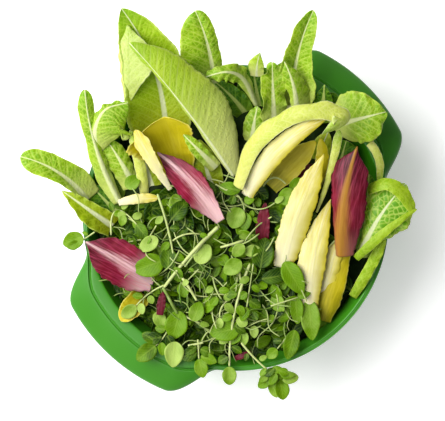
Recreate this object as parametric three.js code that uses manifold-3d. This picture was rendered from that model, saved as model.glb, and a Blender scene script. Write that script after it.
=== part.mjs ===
// A mixed leaf salad heaped in a round plastic bowl with two drooping flange handles.
// Millimetres, +Z up. The origin is the centre of the bowl's flat foot.

import * as THREE from 'three';
import { mergeVertices } from 'three/addons/utils/BufferGeometryUtils.js';
import Module from 'manifold-3d';

const wasm = await Module();
wasm.setup();

// ---------------------------------------------------------------- driving dimensions

const RIM_HEIGHT = 100;            // top of the rim above the table
const RIM_RADIUS = 142;            // outer edge of the rim between the handles
const MOUTH_RADIUS = 136.5;        // inner edge of the rim
const FOOT_RADIUS = 64;            // flat disc the bowl stands on
const WALL = 3.2;                  // thickness of the bowl's wall
const HANDLE_REACH = 32;           // how far a handle stands out past the rim
const HANDLE_DROP = 15;            // how far a handle's outer edge hangs below the rim
const HANDLE_BAND = 9.5;           // extra width of the flat band inside a handle's groove
const HANDLE_HALF_ANGLE = 26;      // degrees from a handle's middle to half its reach
const HANDLE_BLEND = 8;            // degrees either side over which the reach fades
const HANDLE_MIDDLES = [46.5, 226.5];
const GROOVE_WIDTH = 2;
const GROOVE_DEPTH = 1.4;
const BOWL_STEPS = 72;             // facets around the bowl

const LEAF_THICKNESS = 2.2;        // lettuce
const ENDIVE_THICKNESS = 2.8;      // fleshier endive leaves
const LEAF_ACROSS = 3;             // facets across a leaf
const GAP = 0.35;                  // clearance between neighbouring solids

const HEAP_STEPS = 32;             // facets around the heap
const HEAP_FLOOR = WALL + GAP;     // underside of the heap
const HEAP_EDGE_HEIGHT = 84;       // the heap's top where it meets the wall
const HEAP_SHOULDER_HEIGHT = 101;  // the heap's top a little way in
const HEAP_CREST_HEIGHT = 116;     // the heap's top near the middle

const COLOURS = {
  bowl: 0x2f8a1e,
  heap: 0x3d6b16,
  cress: 0x5b9a2a,
  romaine: 0xa6c84a,
  endive: 0xefe7a0,
  gold: 0xd2c022,
  red: 0x8a1030,
};

// ---------------------------------------------------------------- shared shape helpers

const radians = THREE.MathUtils.degToRad;

/** A closed three.js geometry made from a vertex list and a triangle list. */
function closedGeometry(vertices, triangles) {
  const geometry = new THREE.BufferGeometry();
  geometry.setAttribute('position', new THREE.Float32BufferAttribute(vertices.flat(), 3));
  geometry.setIndex(triangles.flat());
  return mergeVertices(geometry, 1e-4);
}

/** The same shape as a solid that can be cut. */
function toSolid(geometry) {
  return new wasm.Manifold(new wasm.Mesh({
    numProp: 3,
    vertProperties: new Float32Array(geometry.attributes.position.array),
    triVerts: new Uint32Array(geometry.index.array),
  }));
}

/** The largest single body of a solid that a cut may have parted. */
function largestBody(solid) {
  const bodies = solid.decompose();
  return bodies.reduce((best, body) => (body.volume() > best.volume() ? body : best));
}

/** A solid back as three.js geometry with flat normals. */
function toGeometry(solid) {
  const mesh = solid.getMesh();
  const geometry = new THREE.BufferGeometry();
  geometry.setAttribute('position', new THREE.BufferAttribute(new Float32Array(mesh.vertProperties), 3));
  geometry.setIndex(new THREE.BufferAttribute(new Uint32Array(mesh.triVerts), 1));
  geometry.computeVertexNormals();
  return geometry;
}

/** Catmull-Rom value between the middle two of four numbers. */
function ease(a, b, c, d, t) {
  return 0.5 * (2 * b + (c - a) * t + (2 * a - 5 * b + 4 * c - d) * t * t
    + (3 * b - 3 * c + d - a) * t * t * t);
}

/** Every column of a table of stations, read smoothly at position t from 0 to 1. */
function readStations(stations, t) {
  const last = stations.length - 1;
  const place = Math.min(t * last, last - 1e-9);
  const i = Math.floor(place);
  const row = (k) => stations[Math.max(0, Math.min(last, k))];
  return stations[0].map((_, column) => ease(
    row(i - 1)[column], row(i)[column], row(i + 1)[column], row(i + 2)[column], place - i,
  ));
}

// ---------------------------------------------------------------- the bowl

/** How much handle there is at an angle: 0 on the plain rim, 1 along a handle. */
function handleShare(angle) {
  const shares = HANDLE_MIDDLES.map((middle) => {
    const away = Math.abs(((angle - middle + 540) % 360) - 180);
    return 1 - THREE.MathUtils.smoothstep(away, HANDLE_HALF_ANGLE - HANDLE_BLEND, HANDLE_HALF_ANGLE + HANDLE_BLEND);
  });
  return Math.max(...shares);
}

/** Radius of the bowl's outside at a height, a quarter of an ellipse from foot to rim. */
function outsideRadius(height) {
  const up = Math.min(1, height / (RIM_HEIGHT - 4));
  return FOOT_RADIUS + (MOUTH_RADIUS - 3 - FOOT_RADIUS) * Math.sqrt(1 - (1 - up) ** 2);
}

/** The wall's outline, from the foot's middle out, up, over the rim and down inside. */
function bowlOutline(angle) {
  const share = handleShare(angle);
  const reach = HANDLE_REACH * share;
  const drop = HANDLE_DROP * share;
  const band = HANDLE_BAND * share;
  const groove = GROOVE_DEPTH * Math.min(1, 4 * share);
  const grooveAt = RIM_RADIUS - 2.4 + band;
  const heights = [6, 16, 32, 54, 78];
  const outer = heights.map((z) => [outsideRadius(z), z]);
  const inner = heights.map((z) => [outsideRadius(z) - WALL, z + WALL * (1 - z / RIM_HEIGHT)]).reverse();
  return [
    [0, 0],
    [FOOT_RADIUS, 0],
    ...outer,
    [MOUTH_RADIUS + 0.5, RIM_HEIGHT - 9],
    [RIM_RADIUS - 2 + band, RIM_HEIGHT - 6.5 - 0.25 * drop],
    [RIM_RADIUS - 0.6 + reach, RIM_HEIGHT - 5.5 - drop],
    [RIM_RADIUS + reach, RIM_HEIGHT - 3.4 - drop],
    [RIM_RADIUS - 1.2 + reach, RIM_HEIGHT - 1.6 - 0.94 * drop],
    [grooveAt + GROOVE_WIDTH / 2 + 0.2, RIM_HEIGHT - 0.9 - 0.1 * drop],
    [grooveAt, RIM_HEIGHT - 0.6 - groove],
    [grooveAt - GROOVE_WIDTH / 2, RIM_HEIGHT - 0.2],
    [MOUTH_RADIUS + 1.6, RIM_HEIGHT],
    [MOUTH_RADIUS, RIM_HEIGHT - 2],
    ...inner,
    [FOOT_RADIUS - 4, WALL],
    [0, WALL],
  ];
}

/** A closed shell swept round the axis, whose outline may change with the angle. */
function sweptRound(outlineAt, steps) {
  const rows = Array.from({ length: steps }, (_, k) => outlineAt((360 * k) / steps));
  const count = rows[0].length;
  const vertices = [];
  rows.forEach((row, k) => {
    const turn = radians((360 * k) / steps);
    row.forEach(([r, z]) => vertices.push([r * Math.cos(turn), r * Math.sin(turn), z]));
  });
  const triangles = [];
  for (let k = 0; k < steps; k += 1) {
    const here = k * count;
    const next = ((k + 1) % steps) * count;
    for (let i = 0; i < count - 1; i += 1) {
      if (i < count - 2) triangles.push([here + i, next + i + 1, here + i + 1]);
      if (i > 0) triangles.push([here + i, next + i, next + i + 1]);
    }
  }
  return closedGeometry(vertices, triangles);
}

// ---------------------------------------------------------------- leaves

/** Turns a leaf's stations into sections: middle point, way across and face, all unit vectors. */
function leafSections(stations, along) {
  const sections = [];
  const start = new THREE.Vector3(...stations[0].slice(0, 3));
  const end = new THREE.Vector3(...stations[stations.length - 1].slice(0, 3));
  let across = end.clone().sub(start).cross(new THREE.Vector3(0, 0, 1)).normalize();
  for (let i = 0; i <= along; i += 1) {
    const t = i / along;
    const [x, y, z, left, right, roll = 0] = readStations(stations, t);
    const ahead = readStations(stations, Math.min(1, t + 0.01));
    const behind = readStations(stations, Math.max(0, t - 0.01));
    const way = new THREE.Vector3(...[0, 1, 2].map((k) => ahead[k] - behind[k])).normalize();
    across = across.clone().addScaledVector(way, -across.dot(way)).normalize();
    const turned = across.clone().applyAxisAngle(way, radians(roll));
    sections.push({ at: new THREE.Vector3(x, y, z), left, right, across: turned, face: turned.clone().cross(way) });
  }
  return sections;
}

/** A thin curved leaf: a blade of the given widths along its stations, cupped across. */
function leafGeometry({ stations, cup = 0, thickness = LEAF_THICKNESS }, grow = 0) {
  const along = Math.max(4, Math.round(1.35 * (stations.length - 1)));
  const half = thickness / 2 + grow;
  const vertices = [];
  for (const { at, left, right, across, face } of leafSections(stations, along)) {
    for (let j = 0; j <= LEAF_ACROSS; j += 1) {
      const v = (2 * j) / LEAF_ACROSS - 1;
      const width = Math.max(v < 0 ? left : right, 0.8) + grow;
      const bend = radians(cup) / 2;
      const sideways = bend === 0 ? v * width : (width * Math.sin(bend * v)) / bend;
      const lift = bend === 0 ? 0 : (width * (1 - Math.cos(bend * v))) / bend;
      const middle = at.clone().addScaledVector(across, sideways).addScaledVector(face, lift);
      const out = face.clone().multiplyScalar(Math.cos(bend * v)).addScaledVector(across, -Math.sin(bend * v));
      vertices.push(middle.clone().addScaledVector(out, half).toArray());
      vertices.push(middle.clone().addScaledVector(out, -half).toArray());
    }
  }
  return closedGeometry(vertices, bladeTriangles(along, LEAF_ACROSS));
}

/** Triangles of a blade whose vertices run section by section, upper then lower of each pair. */
function bladeTriangles(along, across) {
  const triangles = [];
  const row = 2 * (across + 1);
  const quad = (a, b, c, d) => triangles.push([a, b, c], [a, c, d]);
  for (let i = 0; i < along; i += 1) {
    for (let j = 0; j < across; j += 1) {
      const a = i * row + 2 * j;
      quad(a, a + 2, a + 2 + row, a + row);
      quad(a + 1, a + 1 + row, a + 3 + row, a + 3);
    }
    const left = i * row;
    const right = i * row + 2 * across;
    quad(left, left + row, left + row + 1, left + 1);
    quad(right, right + 1, right + row + 1, right + row);
  }
  for (let j = 0; j < across; j += 1) {
    const near = 2 * j;
    const far = along * row + 2 * j;
    quad(near, near + 1, near + 3, near + 2);
    quad(far, far + 2, far + 3, far + 1);
  }
  return triangles;
}

// Each station is [x, y, z, width to the left, width to the right, roll in degrees],
// from the hidden base to the tip. Leaves nearer the top of the heap come first.
const LEAVES = {
  lettuce_arching: {
    colour: 'romaine', cup: -70,
    stations: [[2, 22, 124, 5, 5, 0], [6, 42, 136, 7, 7, 0], [15, 59, 146, 8, 8, 0], [29, 75, 154, 8, 8, 0],
      [46, 89, 158, 8, 8, 0], [65, 99, 160, 8, 8, 0], [84, 102, 160, 8, 9, 0], [97, 95, 158, 7, 9, 0],
      [98, 83, 156, 5, 8, 0], [88, 78, 154, 3, 5, 0], [79, 76, 153, 1, 2, 0]],
  },
  endive_yellow_long: {
    colour: 'endive', cup: -60, thickness: ENDIVE_THICKNESS,
    stations: [[10, 15, 110, 6, 6, 0], [20, 34, 123, 8, 8, 0], [31, 49, 132, 9, 9, 0], [46, 64, 140, 9, 9, 0],
      [61, 77, 145, 9, 9, 0], [75, 86, 148, 7, 7, 0], [84, 90, 149, 3, 3, 0]],
  },
  romaine_back_main: {
    colour: 'romaine', cup: -50,
    stations: [[2, 38, 112, 8, 12, 0], [-13, 61, 124, 10, 22, 0], [-28, 77, 134, 9, 29, 0], [-45, 99, 145, 8, 31, 0],
      [-57, 122, 154, 8, 27, 0], [-69, 141, 159, 14, 22, 0], [-82, 154, 160, 14, 12, 0], [-93, 161, 158, 3, 3, 0]],
  },
  endive_cream_fold: {
    colour: 'endive', cup: -40, thickness: ENDIVE_THICKNESS,
    stations: [[-57, 22, 121, 3, 4, 0], [-66, 38, 129, 5, 5, 0], [-76, 55, 135, 6, 6, 0], [-85, 70, 138, 6, 6, 0],
      [-90, 78, 138, 3, 4, 0]],
  },
  red_endive_centre: {
    colour: 'red', cup: 60, thickness: ENDIVE_THICKNESS,
    stations: [[-15, 0, 128, 4, 4, 0], [-27, 13, 130, 7, 7, 0], [-41, 28, 129, 10, 14, 0], [-55, 42, 125, 10, 11, 0],
      [-65, 51, 121, 6, 6, 0], [-72, 57, 118, 2, 2, 0]],
  },
  lettuce_green_edge: {
    colour: 'romaine', cup: -30,
    stations: [[-21, 45, 114, 4, 4, 0], [-30, 56, 120, 8, 6, 0], [-41, 67, 126, 7, 7, 0], [-48, 76, 128, 2, 2, 0]],
  },
  endive_yellow_hood: {
    colour: 'gold', cup: 90, thickness: ENDIVE_THICKNESS,
    stations: [[-42, 24, 102, 10, 8, 0], [-53, 42, 108, 13, 11, 0], [-62, 60, 115, 20, 18, 0], [-68, 75, 123, 22, 22, 0],
      [-70, 87, 131, 16, 18, 0]],
  },
  red_endive_right: {
    colour: 'red', cup: -70, thickness: ENDIVE_THICKNESS,
    stations: [[97, -36, 116, 9, 9, 0], [99, -15, 126, 12, 12, 0], [104, 7, 135, 14, 15, 0], [107, 30, 142, 18, 16, 0],
      [111, 48, 145, 13, 12, 0], [113, 64, 145, 2, 2, 0]],
  },
  endive_pale_long: {
    colour: 'endive', cup: -40, thickness: ENDIVE_THICKNESS,
    stations: [[44, -45, 112, 8, 9, 0], [45, -25, 120, 11, 14, 0], [54, -4, 128, 11, 13, 0], [65, 18, 135, 9, 11, 0],
      [74, 38, 139, 6, 8, 0], [80, 58, 140, 2, 2, 0]],
  },
  lettuce_rib_right: {
    colour: 'romaine', cup: -40, thickness: 3,
    stations: [[70, -4, 116, 2, 2, 0], [78, 21, 124, 3, 3, 0], [84, 45, 129, 3, 3, 0], [89, 62, 131, 3, 3, 0],
      [91, 76, 131, 3, 3, 0]],
  },
  endive_pale_right: {
    colour: 'endive', cup: -40, thickness: ENDIVE_THICKNESS,
    stations: [[65, -79, 104, 7, 9, 0], [68, -56, 111, 8, 10, 0], [72, -34, 116, 10, 9, 0], [77, -11, 120, 7, 6, 0],
      [84, 16, 122, 3, 3, 0]],
  },
  red_endive_left: {
    colour: 'red', cup: 45, thickness: ENDIVE_THICKNESS,
    stations: [[-74, -65, 106, 8, 10, 0], [-87, -54, 112, 14, 17, 0], [-104, -41, 118, 19, 19, 0],
      [-119, -32, 121, 16, 14, 0], [-131, -26, 121, 8, 8, 0], [-137, -22, 120, 2, 2, 0]],
  },
  endive_ochre: {
    colour: 'gold', cup: 50, thickness: ENDIVE_THICKNESS,
    stations: [[35, 32, 104, 7, 6, 0], [48, 46, 112, 10, 9, 0], [61, 59, 119, 10, 10, 0], [71, 69, 124, 6, 6, 0]],
  },
  red_endive_small: {
    colour: 'red', cup: 30, thickness: ENDIVE_THICKNESS,
    stations: [[45, 31, 98, 4, 4, 0], [56, 37, 103, 8, 7, 0], [66, 43, 107, 7, 6, 0], [73, 49, 109, 2, 2, 0]],
  },
  endive_olive_right: {
    colour: 'gold', cup: -40, thickness: ENDIVE_THICKNESS,
    stations: [[81, -92, 96, 6, 8, 0], [87, -75, 102, 9, 11, 0], [93, -55, 108, 11, 11, 0], [96, -31, 111, 11, 11, 0],
      [98, -14, 112, 6, 6, 0]],
  },
  lettuce_fold_right: {
    colour: 'romaine', cup: -60,
    stations: [[56, 94, 110, 12, 11, 0], [58, 112, 124, 10, 10, 0], [54, 127, 135, 8, 9, 0], [49, 138, 141, 6, 7, 0],
      [45, 143, 142, 2, 2, 0]],
  },
  lettuce_ruffle_middle: {
    colour: 'romaine', cup: 40,
    stations: [[37, 92, 104, 8, 8, 0], [33, 108, 115, 9, 9, 0], [32, 124, 124, 10, 9, 0], [36, 138, 131, 8, 7, 0],
      [38, 144, 132, 3, 3, 0]],
  },
  romaine_back_right: {
    colour: 'romaine', cup: 50,
    stations: [[54, 102, 98, 16, 16, 0], [55, 126, 117, 19, 19, 0], [57, 146, 132, 15, 16, 0], [61, 162, 144, 9, 13, 0],
      [65, 176, 151, 5, 10, 0], [68, 187, 153, 2, 2, 0]],
  },
  lettuce_ruffle_top: {
    colour: 'romaine', cup: -40,
    stations: [[17, 101, 108, 5, 6, 0], [11, 120, 124, 8, 8, 0], [-1, 131, 134, 9, 8, 0], [-17, 132, 136, 7, 6, 0],
      [-27, 130, 135, 3, 3, 0]],
  },
  lettuce_bright_middle: {
    colour: 'romaine', cup: -50,
    stations: [[15, 74, 102, 6, 6, 0], [14, 86, 110, 10, 9, 0], [12, 97, 114, 8, 9, 0], [11, 105, 115, 3, 3, 0]],
  },
  lettuce_dark_middle: {
    colour: 'romaine', cup: 30,
    stations: [[12, 88, 96, 5, 5, 0], [0, 103, 106, 8, 8, 0], [-11, 113, 112, 9, 7, 0], [-20, 121, 114, 3, 3, 0]],
  },
  lettuce_peak: {
    colour: 'romaine', cup: -40,
    stations: [[24, 116, 104, 6, 6, 0], [23, 133, 118, 8, 7, 0], [21, 144, 128, 5, 4, 0], [20, 150, 131, 1, 1, 0]],
  },
  romaine_top: {
    colour: 'romaine', cup: 40,
    stations: [[-16, 120, 100, 18, 8, 0], [-22, 142, 118, 25, 9, 0], [-25, 160, 131, 25, 10, 0], [-29, 174, 139, 19, 8, 0],
      [-35, 184, 142, 5, 4, 0]],
  },
  romaine_back_left: {
    colour: 'romaine', cup: 80,
    stations: [[-71, 82, 92, 24, 24, 0], [-74, 112, 112, 27, 28, 0], [-79, 139, 131, 26, 29, 0], [-86, 162, 145, 19, 27, 0],
      [-94, 177, 151, 11, 15, 0], [-102, 188, 153, 2, 2, 0]],
  },
  lettuce_curl_left: {
    colour: 'romaine', cup: -90,
    stations: [[-107, 68, 119, 17, 10, 0], [-110, 82, 130, 17, 15, 0], [-113, 94, 135, 13, 14, 0],
      [-115, 104, 134, 8, 10, 0]],
  },
  endive_strip_left: {
    colour: 'endive', cup: -40, thickness: ENDIVE_THICKNESS,
    stations: [[-86, 14, 104, 5, 5, 0], [-87, 35, 111, 6, 6, 0], [-91, 53, 117, 6, 5, 0], [-96, 68, 122, 5, 4, 0],
      [-97, 79, 124, 2, 3, 0]],
  },
  lettuce_left_broad: {
    colour: 'romaine', cup: -40,
    stations: [[-93, 26, 98, 8, 9, 0], [-102, 42, 106, 11, 11, 0], [-110, 57, 112, 12, 10, 0], [-117, 69, 115, 6, 6, 0]],
  },
  romaine_left_tall: {
    colour: 'romaine', cup: -50,
    stations: [[-107, 16, 100, 6, 7, 0], [-120, 40, 113, 8, 10, 0], [-128, 62, 122, 8, 8, 0], [-133, 85, 128, 8, 8, 0],
      [-134, 102, 131, 7, 8, 0], [-134, 115, 132, 4, 5, 0]],
  },
  romaine_left: {
    colour: 'romaine', cup: 40,
    stations: [[-120, 4, 101, 5, 12, 0], [-138, 22, 110, 5, 15, 0], [-153, 35, 118, 8, 13, 0], [-167, 45, 124, 10, 11, 0],
      [-182, 51, 128, 9, 11, 0], [-195, 55, 129, 2, 2, 0]],
  },
  lettuce_left_low: {
    colour: 'romaine', cup: 60,
    stations: [[-106, -8, 96, 11, 12, 0], [-119, -3, 103, 13, 11, 0], [-131, 5, 108, 12, 9, 0], [-144, 13, 112, 9, 7, 0],
      [-155, 23, 114, 2, 2, 0]],
  },
  lettuce_stub_right: {
    colour: 'romaine', cup: -50,
    stations: [[82, 94, 104, 8, 8, 0], [81, 106, 112, 9, 9, 0], [80, 116, 117, 5, 5, 0], [80, 121, 118, 1, 1, 0]],
  },
  lettuce_round_right: {
    colour: 'romaine', cup: -50,
    stations: [[90, 84, 106, 14, 14, 0], [105, 88, 119, 24, 20, 0], [119, 92, 125, 22, 25, 0], [129, 94, 126, 17, 21, 0],
      [136, 95, 125, 8, 10, 0]],
  },
  lettuce_curl_right: {
    colour: 'romaine', cup: -40,
    stations: [[117, -27, 106, 8, 6, 0], [125, -11, 115, 10, 13, 0], [131, 6, 122, 11, 21, 0], [141, 18, 126, 15, 20, 0],
      [151, 24, 126, 10, 14, 0], [157, 27, 124, 3, 4, 0]],
  },
  lettuce_stem_right: {
    colour: 'romaine', cup: -40, thickness: 3,
    stations: [[125, 68, 112, 3, 3, 0], [130, 54, 114, 3, 3, 0], [131, 38, 112, 3, 3, 0], [130, 26, 108, 3, 3, 0]],
  },
  lettuce_low_right: {
    colour: 'romaine', cup: -40,
    stations: [[105, -72, 98, 5, 5, 0], [118, -54, 107, 6, 6, 0], [126, -35, 111, 6, 6, 0], [134, -17, 112, 4, 4, 0]],
  },
  endive_band_left: {
    colour: 'endive', cup: -40, thickness: ENDIVE_THICKNESS,
    stations: [[-107, 13, 108, 3, 3, 0], [-97, 15, 112, 4, 4, 0], [-82, 17, 113, 4, 4, 0], [-70, 18, 111, 3, 3, 0]],
  },
  endive_end_low_left: {
    colour: 'endive', cup: -40, thickness: ENDIVE_THICKNESS,
    stations: [[-84, -70, 98, 9, 9, 0], [-92, -80, 103, 11, 10, 0], [-99, -89, 104, 8, 8, 0], [-102, -94, 104, 3, 3, 0]],
  },
  cress_sprig_front: {
    colour: 'cress', cup: -40,
    stations: [[13, -112, 104, 6, 6, 0], [22, -128, 113, 8, 8, 0], [32, -142, 112, 10, 10, 0], [39, -154, 106, 9, 9, 0],
      [41, -163, 101, 4, 4, 0]],
  },
};

// ---------------------------------------------------------------- the heap under the leaves

/** Height of the heap's uneven top at a share of its radius and an angle. */
function heapTop(share, angle) {
  const turn = radians(angle);
  const lumps = 2.2 * Math.sin(3 * turn + 5 * share) + 1.8 * Math.cos(5 * turn - 7 * share);
  const crest = HEAP_CREST_HEIGHT - 6 * share * share;
  const shoulder = THREE.MathUtils.smoothstep(share, 0.72, 0.98);
  return THREE.MathUtils.lerp(crest + lumps, HEAP_EDGE_HEIGHT, shoulder)
    - (crest - HEAP_SHOULDER_HEIGHT) * THREE.MathUtils.smoothstep(share, 0.55, 0.8) * (1 - shoulder);
}

/** The heap's outline: up just inside the wall, then over its uneven top. */
function heapOutline(angle) {
  const wallHeights = [12, 24, 42, 62];
  const wall = wallHeights.map((z) => [outsideRadius(z) - WALL - 1.6, z + WALL]);
  const edge = outsideRadius(HEAP_EDGE_HEIGHT) - WALL - 1.6;
  const shares = [0.86, 0.68, 0.46, 0.22];
  return [
    [0, HEAP_FLOOR],
    [FOOT_RADIUS - 4, HEAP_FLOOR],
    ...wall,
    [edge, HEAP_EDGE_HEIGHT],
    ...shares.map((share) => [share * edge, heapTop(share, angle)]),
    [0, HEAP_CREST_HEIGHT],
  ];
}

// ---------------------------------------------------------------- assembly

const salad = new THREE.Group();

/** Adds a finished solid to the group as a named mesh. */
function addMesh(name, solid, colour, roughness) {
  const material = new THREE.MeshStandardMaterial({ color: COLOURS[colour], roughness, metalness: 0 });
  const mesh = new THREE.Mesh(toGeometry(solid), material);
  mesh.name = name;
  salad.add(mesh);
}

const bowl = toSolid(sweptRound(bowlOutline, BOWL_STEPS));
addMesh('bowl', bowl, 'bowl', 0.3);

const placed = [bowl];
for (const [name, leaf] of Object.entries(LEAVES)) {
  const cut = placed.reduce((solid, other) => solid.subtract(other), toSolid(leafGeometry(leaf)));
  const body = largestBody(cut);
  addMesh(name, body, leaf.colour, 0.5);
  placed.push(toSolid(leafGeometry(leaf, GAP)));
}

const heap = placed.reduce((solid, other) => solid.subtract(other), toSolid(sweptRound(heapOutline, HEAP_STEPS)));
addMesh('salad_heap', largestBody(heap), 'heap', 0.8);

export default salad;
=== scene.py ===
"""A mixed leaf salad heaped in a handled plastic bowl: the looks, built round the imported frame."""
import logging
import math
from dataclasses import dataclass, field, replace
from enum import Enum
from typing import Iterable, Optional, Sequence

import bpy
import numpy as np
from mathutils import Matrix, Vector


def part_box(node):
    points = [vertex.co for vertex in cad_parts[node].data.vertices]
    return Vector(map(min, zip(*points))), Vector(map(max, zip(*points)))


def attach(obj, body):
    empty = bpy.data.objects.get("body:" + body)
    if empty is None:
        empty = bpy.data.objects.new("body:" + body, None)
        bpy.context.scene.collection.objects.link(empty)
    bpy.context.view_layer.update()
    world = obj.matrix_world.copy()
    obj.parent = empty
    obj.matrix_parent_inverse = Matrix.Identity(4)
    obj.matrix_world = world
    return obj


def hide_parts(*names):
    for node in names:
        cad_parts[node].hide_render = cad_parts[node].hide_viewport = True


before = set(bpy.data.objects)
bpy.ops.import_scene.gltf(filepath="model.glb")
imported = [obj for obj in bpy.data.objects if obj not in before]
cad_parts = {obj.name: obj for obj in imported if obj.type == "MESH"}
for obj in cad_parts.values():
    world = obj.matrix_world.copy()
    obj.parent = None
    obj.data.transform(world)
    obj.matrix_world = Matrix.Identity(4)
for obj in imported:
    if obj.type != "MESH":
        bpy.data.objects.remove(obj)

MM = 0.001
STUDIO_SHARE = 0.74
BODY = "root"
Point = tuple[float, float, float]
Colour = tuple[float, float, float]
LOG = logging.getLogger("salad")


# ---------------------------------------------------------------- small shared tools


def paint(red: int, green: int, blue: int) -> Colour:
    """The colour a surface needs to show as this display colour, 0 to 255, under the studio's light."""
    shares = (value / 255 for value in (red, green, blue))
    return tuple(STUDIO_SHARE * (c / 12.92 if c <= 0.04045 else ((c + 0.055) / 1.055) ** 2.4) for c in shares)


def lattice_noise(x: np.ndarray, y: np.ndarray, seed: float) -> np.ndarray:
    """Smooth repeatable noise from -1 to 1 at points x, y.

    Args:
        x: First coordinate of each point.
        y: Second coordinate of each point.
        seed: Which noise to read.

    Returns:
        One value for each point.
    """
    def corner(ix: np.ndarray, iy: np.ndarray) -> np.ndarray:
        """The random value at a lattice corner."""
        wave = np.sin(ix * 127.1 + iy * 311.7 + seed * 74.7) * 43758.5453
        return wave - np.floor(wave)

    ix, iy = np.floor(x), np.floor(y)
    fx, fy = x - ix, y - iy
    fx, fy = fx * fx * (3 - 2 * fx), fy * fy * (3 - 2 * fy)
    near = corner(ix, iy) * (1 - fx) + corner(ix + 1, iy) * fx
    far = corner(ix, iy + 1) * (1 - fx) + corner(ix + 1, iy + 1) * fx
    return 2 * (near * (1 - fy) + far * fy) - 1


def smooth_through(rows: Sequence, t: np.ndarray) -> np.ndarray:
    """A smooth curve through evenly spaced rows.

    Args:
        rows: The values or points that it passes through.
        t: Where to read it, from 0 at the first row to 1 at the last.

    Returns:
        One value or point for each t.
    """
    rows = np.array(rows, dtype=float)
    last = len(rows) - 1
    place = np.clip(t * last, 0, last - 1e-9)
    i = np.floor(place).astype(int)
    f = (place - i).reshape((-1,) + (1,) * (rows.ndim - 1))
    a, b, c, d = (rows[np.clip(i + k, 0, last)] for k in (-1, 0, 1, 2))
    return 0.5 * (2 * b + (c - a) * f + (2 * a - 5 * b + 4 * c - d) * f * f
                  + (3 * b - 3 * c + d - a) * f ** 3)


def bowed_line(start: Point, end: Point, bow: float, lift: float, t: np.ndarray) -> np.ndarray:
    """Points on an even curve between two ends.

    Args:
        start: Where it begins.
        end: Where it ends.
        bow: How far its middle lies to the left of the straight line, in millimetres.
        lift: How far its middle lies above the straight line, in millimetres.
        t: Where to read it, from 0 to 1.

    Returns:
        One point for each t.
    """
    start, way = np.array(start, dtype=float), np.subtract(end, start)
    left = np.array([-way[1], way[0], 0.0]) / math.hypot(way[0], way[1])
    swell = (4 * t * (1 - t))[:, None]
    return start + way * t[:, None] + swell * (bow * left + np.array([0.0, 0.0, lift]))


def smooth_step(value: np.ndarray, low: float, high: float) -> np.ndarray:
    """0 below low, 1 above high, and a smooth rise between them."""
    share = np.clip((value - low) / (high - low), 0, 1)
    return share * share * (3 - 2 * share)


@dataclass
class MeshData:
    """Vertices in metres, quads, and what each vertex carries for its material."""

    vertices: np.ndarray
    faces: np.ndarray
    blade: Optional[np.ndarray] = None
    span: Optional[np.ndarray] = None
    tone: Optional[np.ndarray] = None
    back: Optional[np.ndarray] = None

    @staticmethod
    def joined(parts: Sequence["MeshData"]) -> "MeshData":
        """Several meshes as one."""
        starts = np.cumsum([0] + [len(part.vertices) for part in parts[:-1]])
        return MeshData(
            np.vstack([part.vertices for part in parts]),
            np.vstack([part.faces + start for part, start in zip(parts, starts)]),
            np.vstack([part.blade for part in parts]),
            np.vstack([part.span for part in parts]),
            np.concatenate([part.tone for part in parts]),
            None if parts[0].back is None else np.concatenate([part.back for part in parts]),
        )

    def to_object(self, name: str, material: bpy.types.Material, linked: bool = True) -> bpy.types.Object:
        """Makes the Blender object.

        Args:
            name: The piece's name.
            material: The finish that it wears.
            linked: False for a pattern leaf that never shows itself.

        Returns:
            The new object, at the origin.
        """
        mesh = bpy.data.meshes.new(name)
        mesh.from_pydata(self.vertices.tolist(), [], self.faces.tolist())
        corners = np.empty(len(mesh.loops), dtype=np.int32)
        mesh.loops.foreach_get("vertex_index", corners)
        for title, values in (("blade", self.blade), ("span", self.span)):
            if values is not None:
                layer = mesh.uv_layers.new(name=title)
                layer.data.foreach_set("uv", values[corners].astype(np.float32).ravel())
        for title, values in (("tone", self.tone), ("back", self.back)):
            if values is not None:
                attribute = mesh.attributes.new(title, "FLOAT", "POINT")
                attribute.data.foreach_set("value", values.astype(np.float32))
        mesh.polygons.foreach_set("use_smooth", [True] * len(mesh.polygons))
        mesh.materials.append(material)
        mesh.update()
        piece = bpy.data.objects.new(name, mesh)
        if linked:
            bpy.context.scene.collection.objects.link(piece)
        return piece


def settle(piece: bpy.types.Object, slot: str, *nodes: str) -> bpy.types.Object:
    """Rides a finished piece on the bowl's body, hides the CAD nodes that it stands for and logs its face
    count.

    Args:
        piece: The finished piece.
        slot: Not used.
        nodes: The CAD nodes that it replaces, if any.

    Returns:
        The same piece.
    """
    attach(piece, BODY)
    if nodes:
        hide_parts(*nodes)
    LOG.info("%s: %d faces", piece.name, len(piece.data.polygons))
    return piece


# ---------------------------------------------------------------- node sheets


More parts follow.
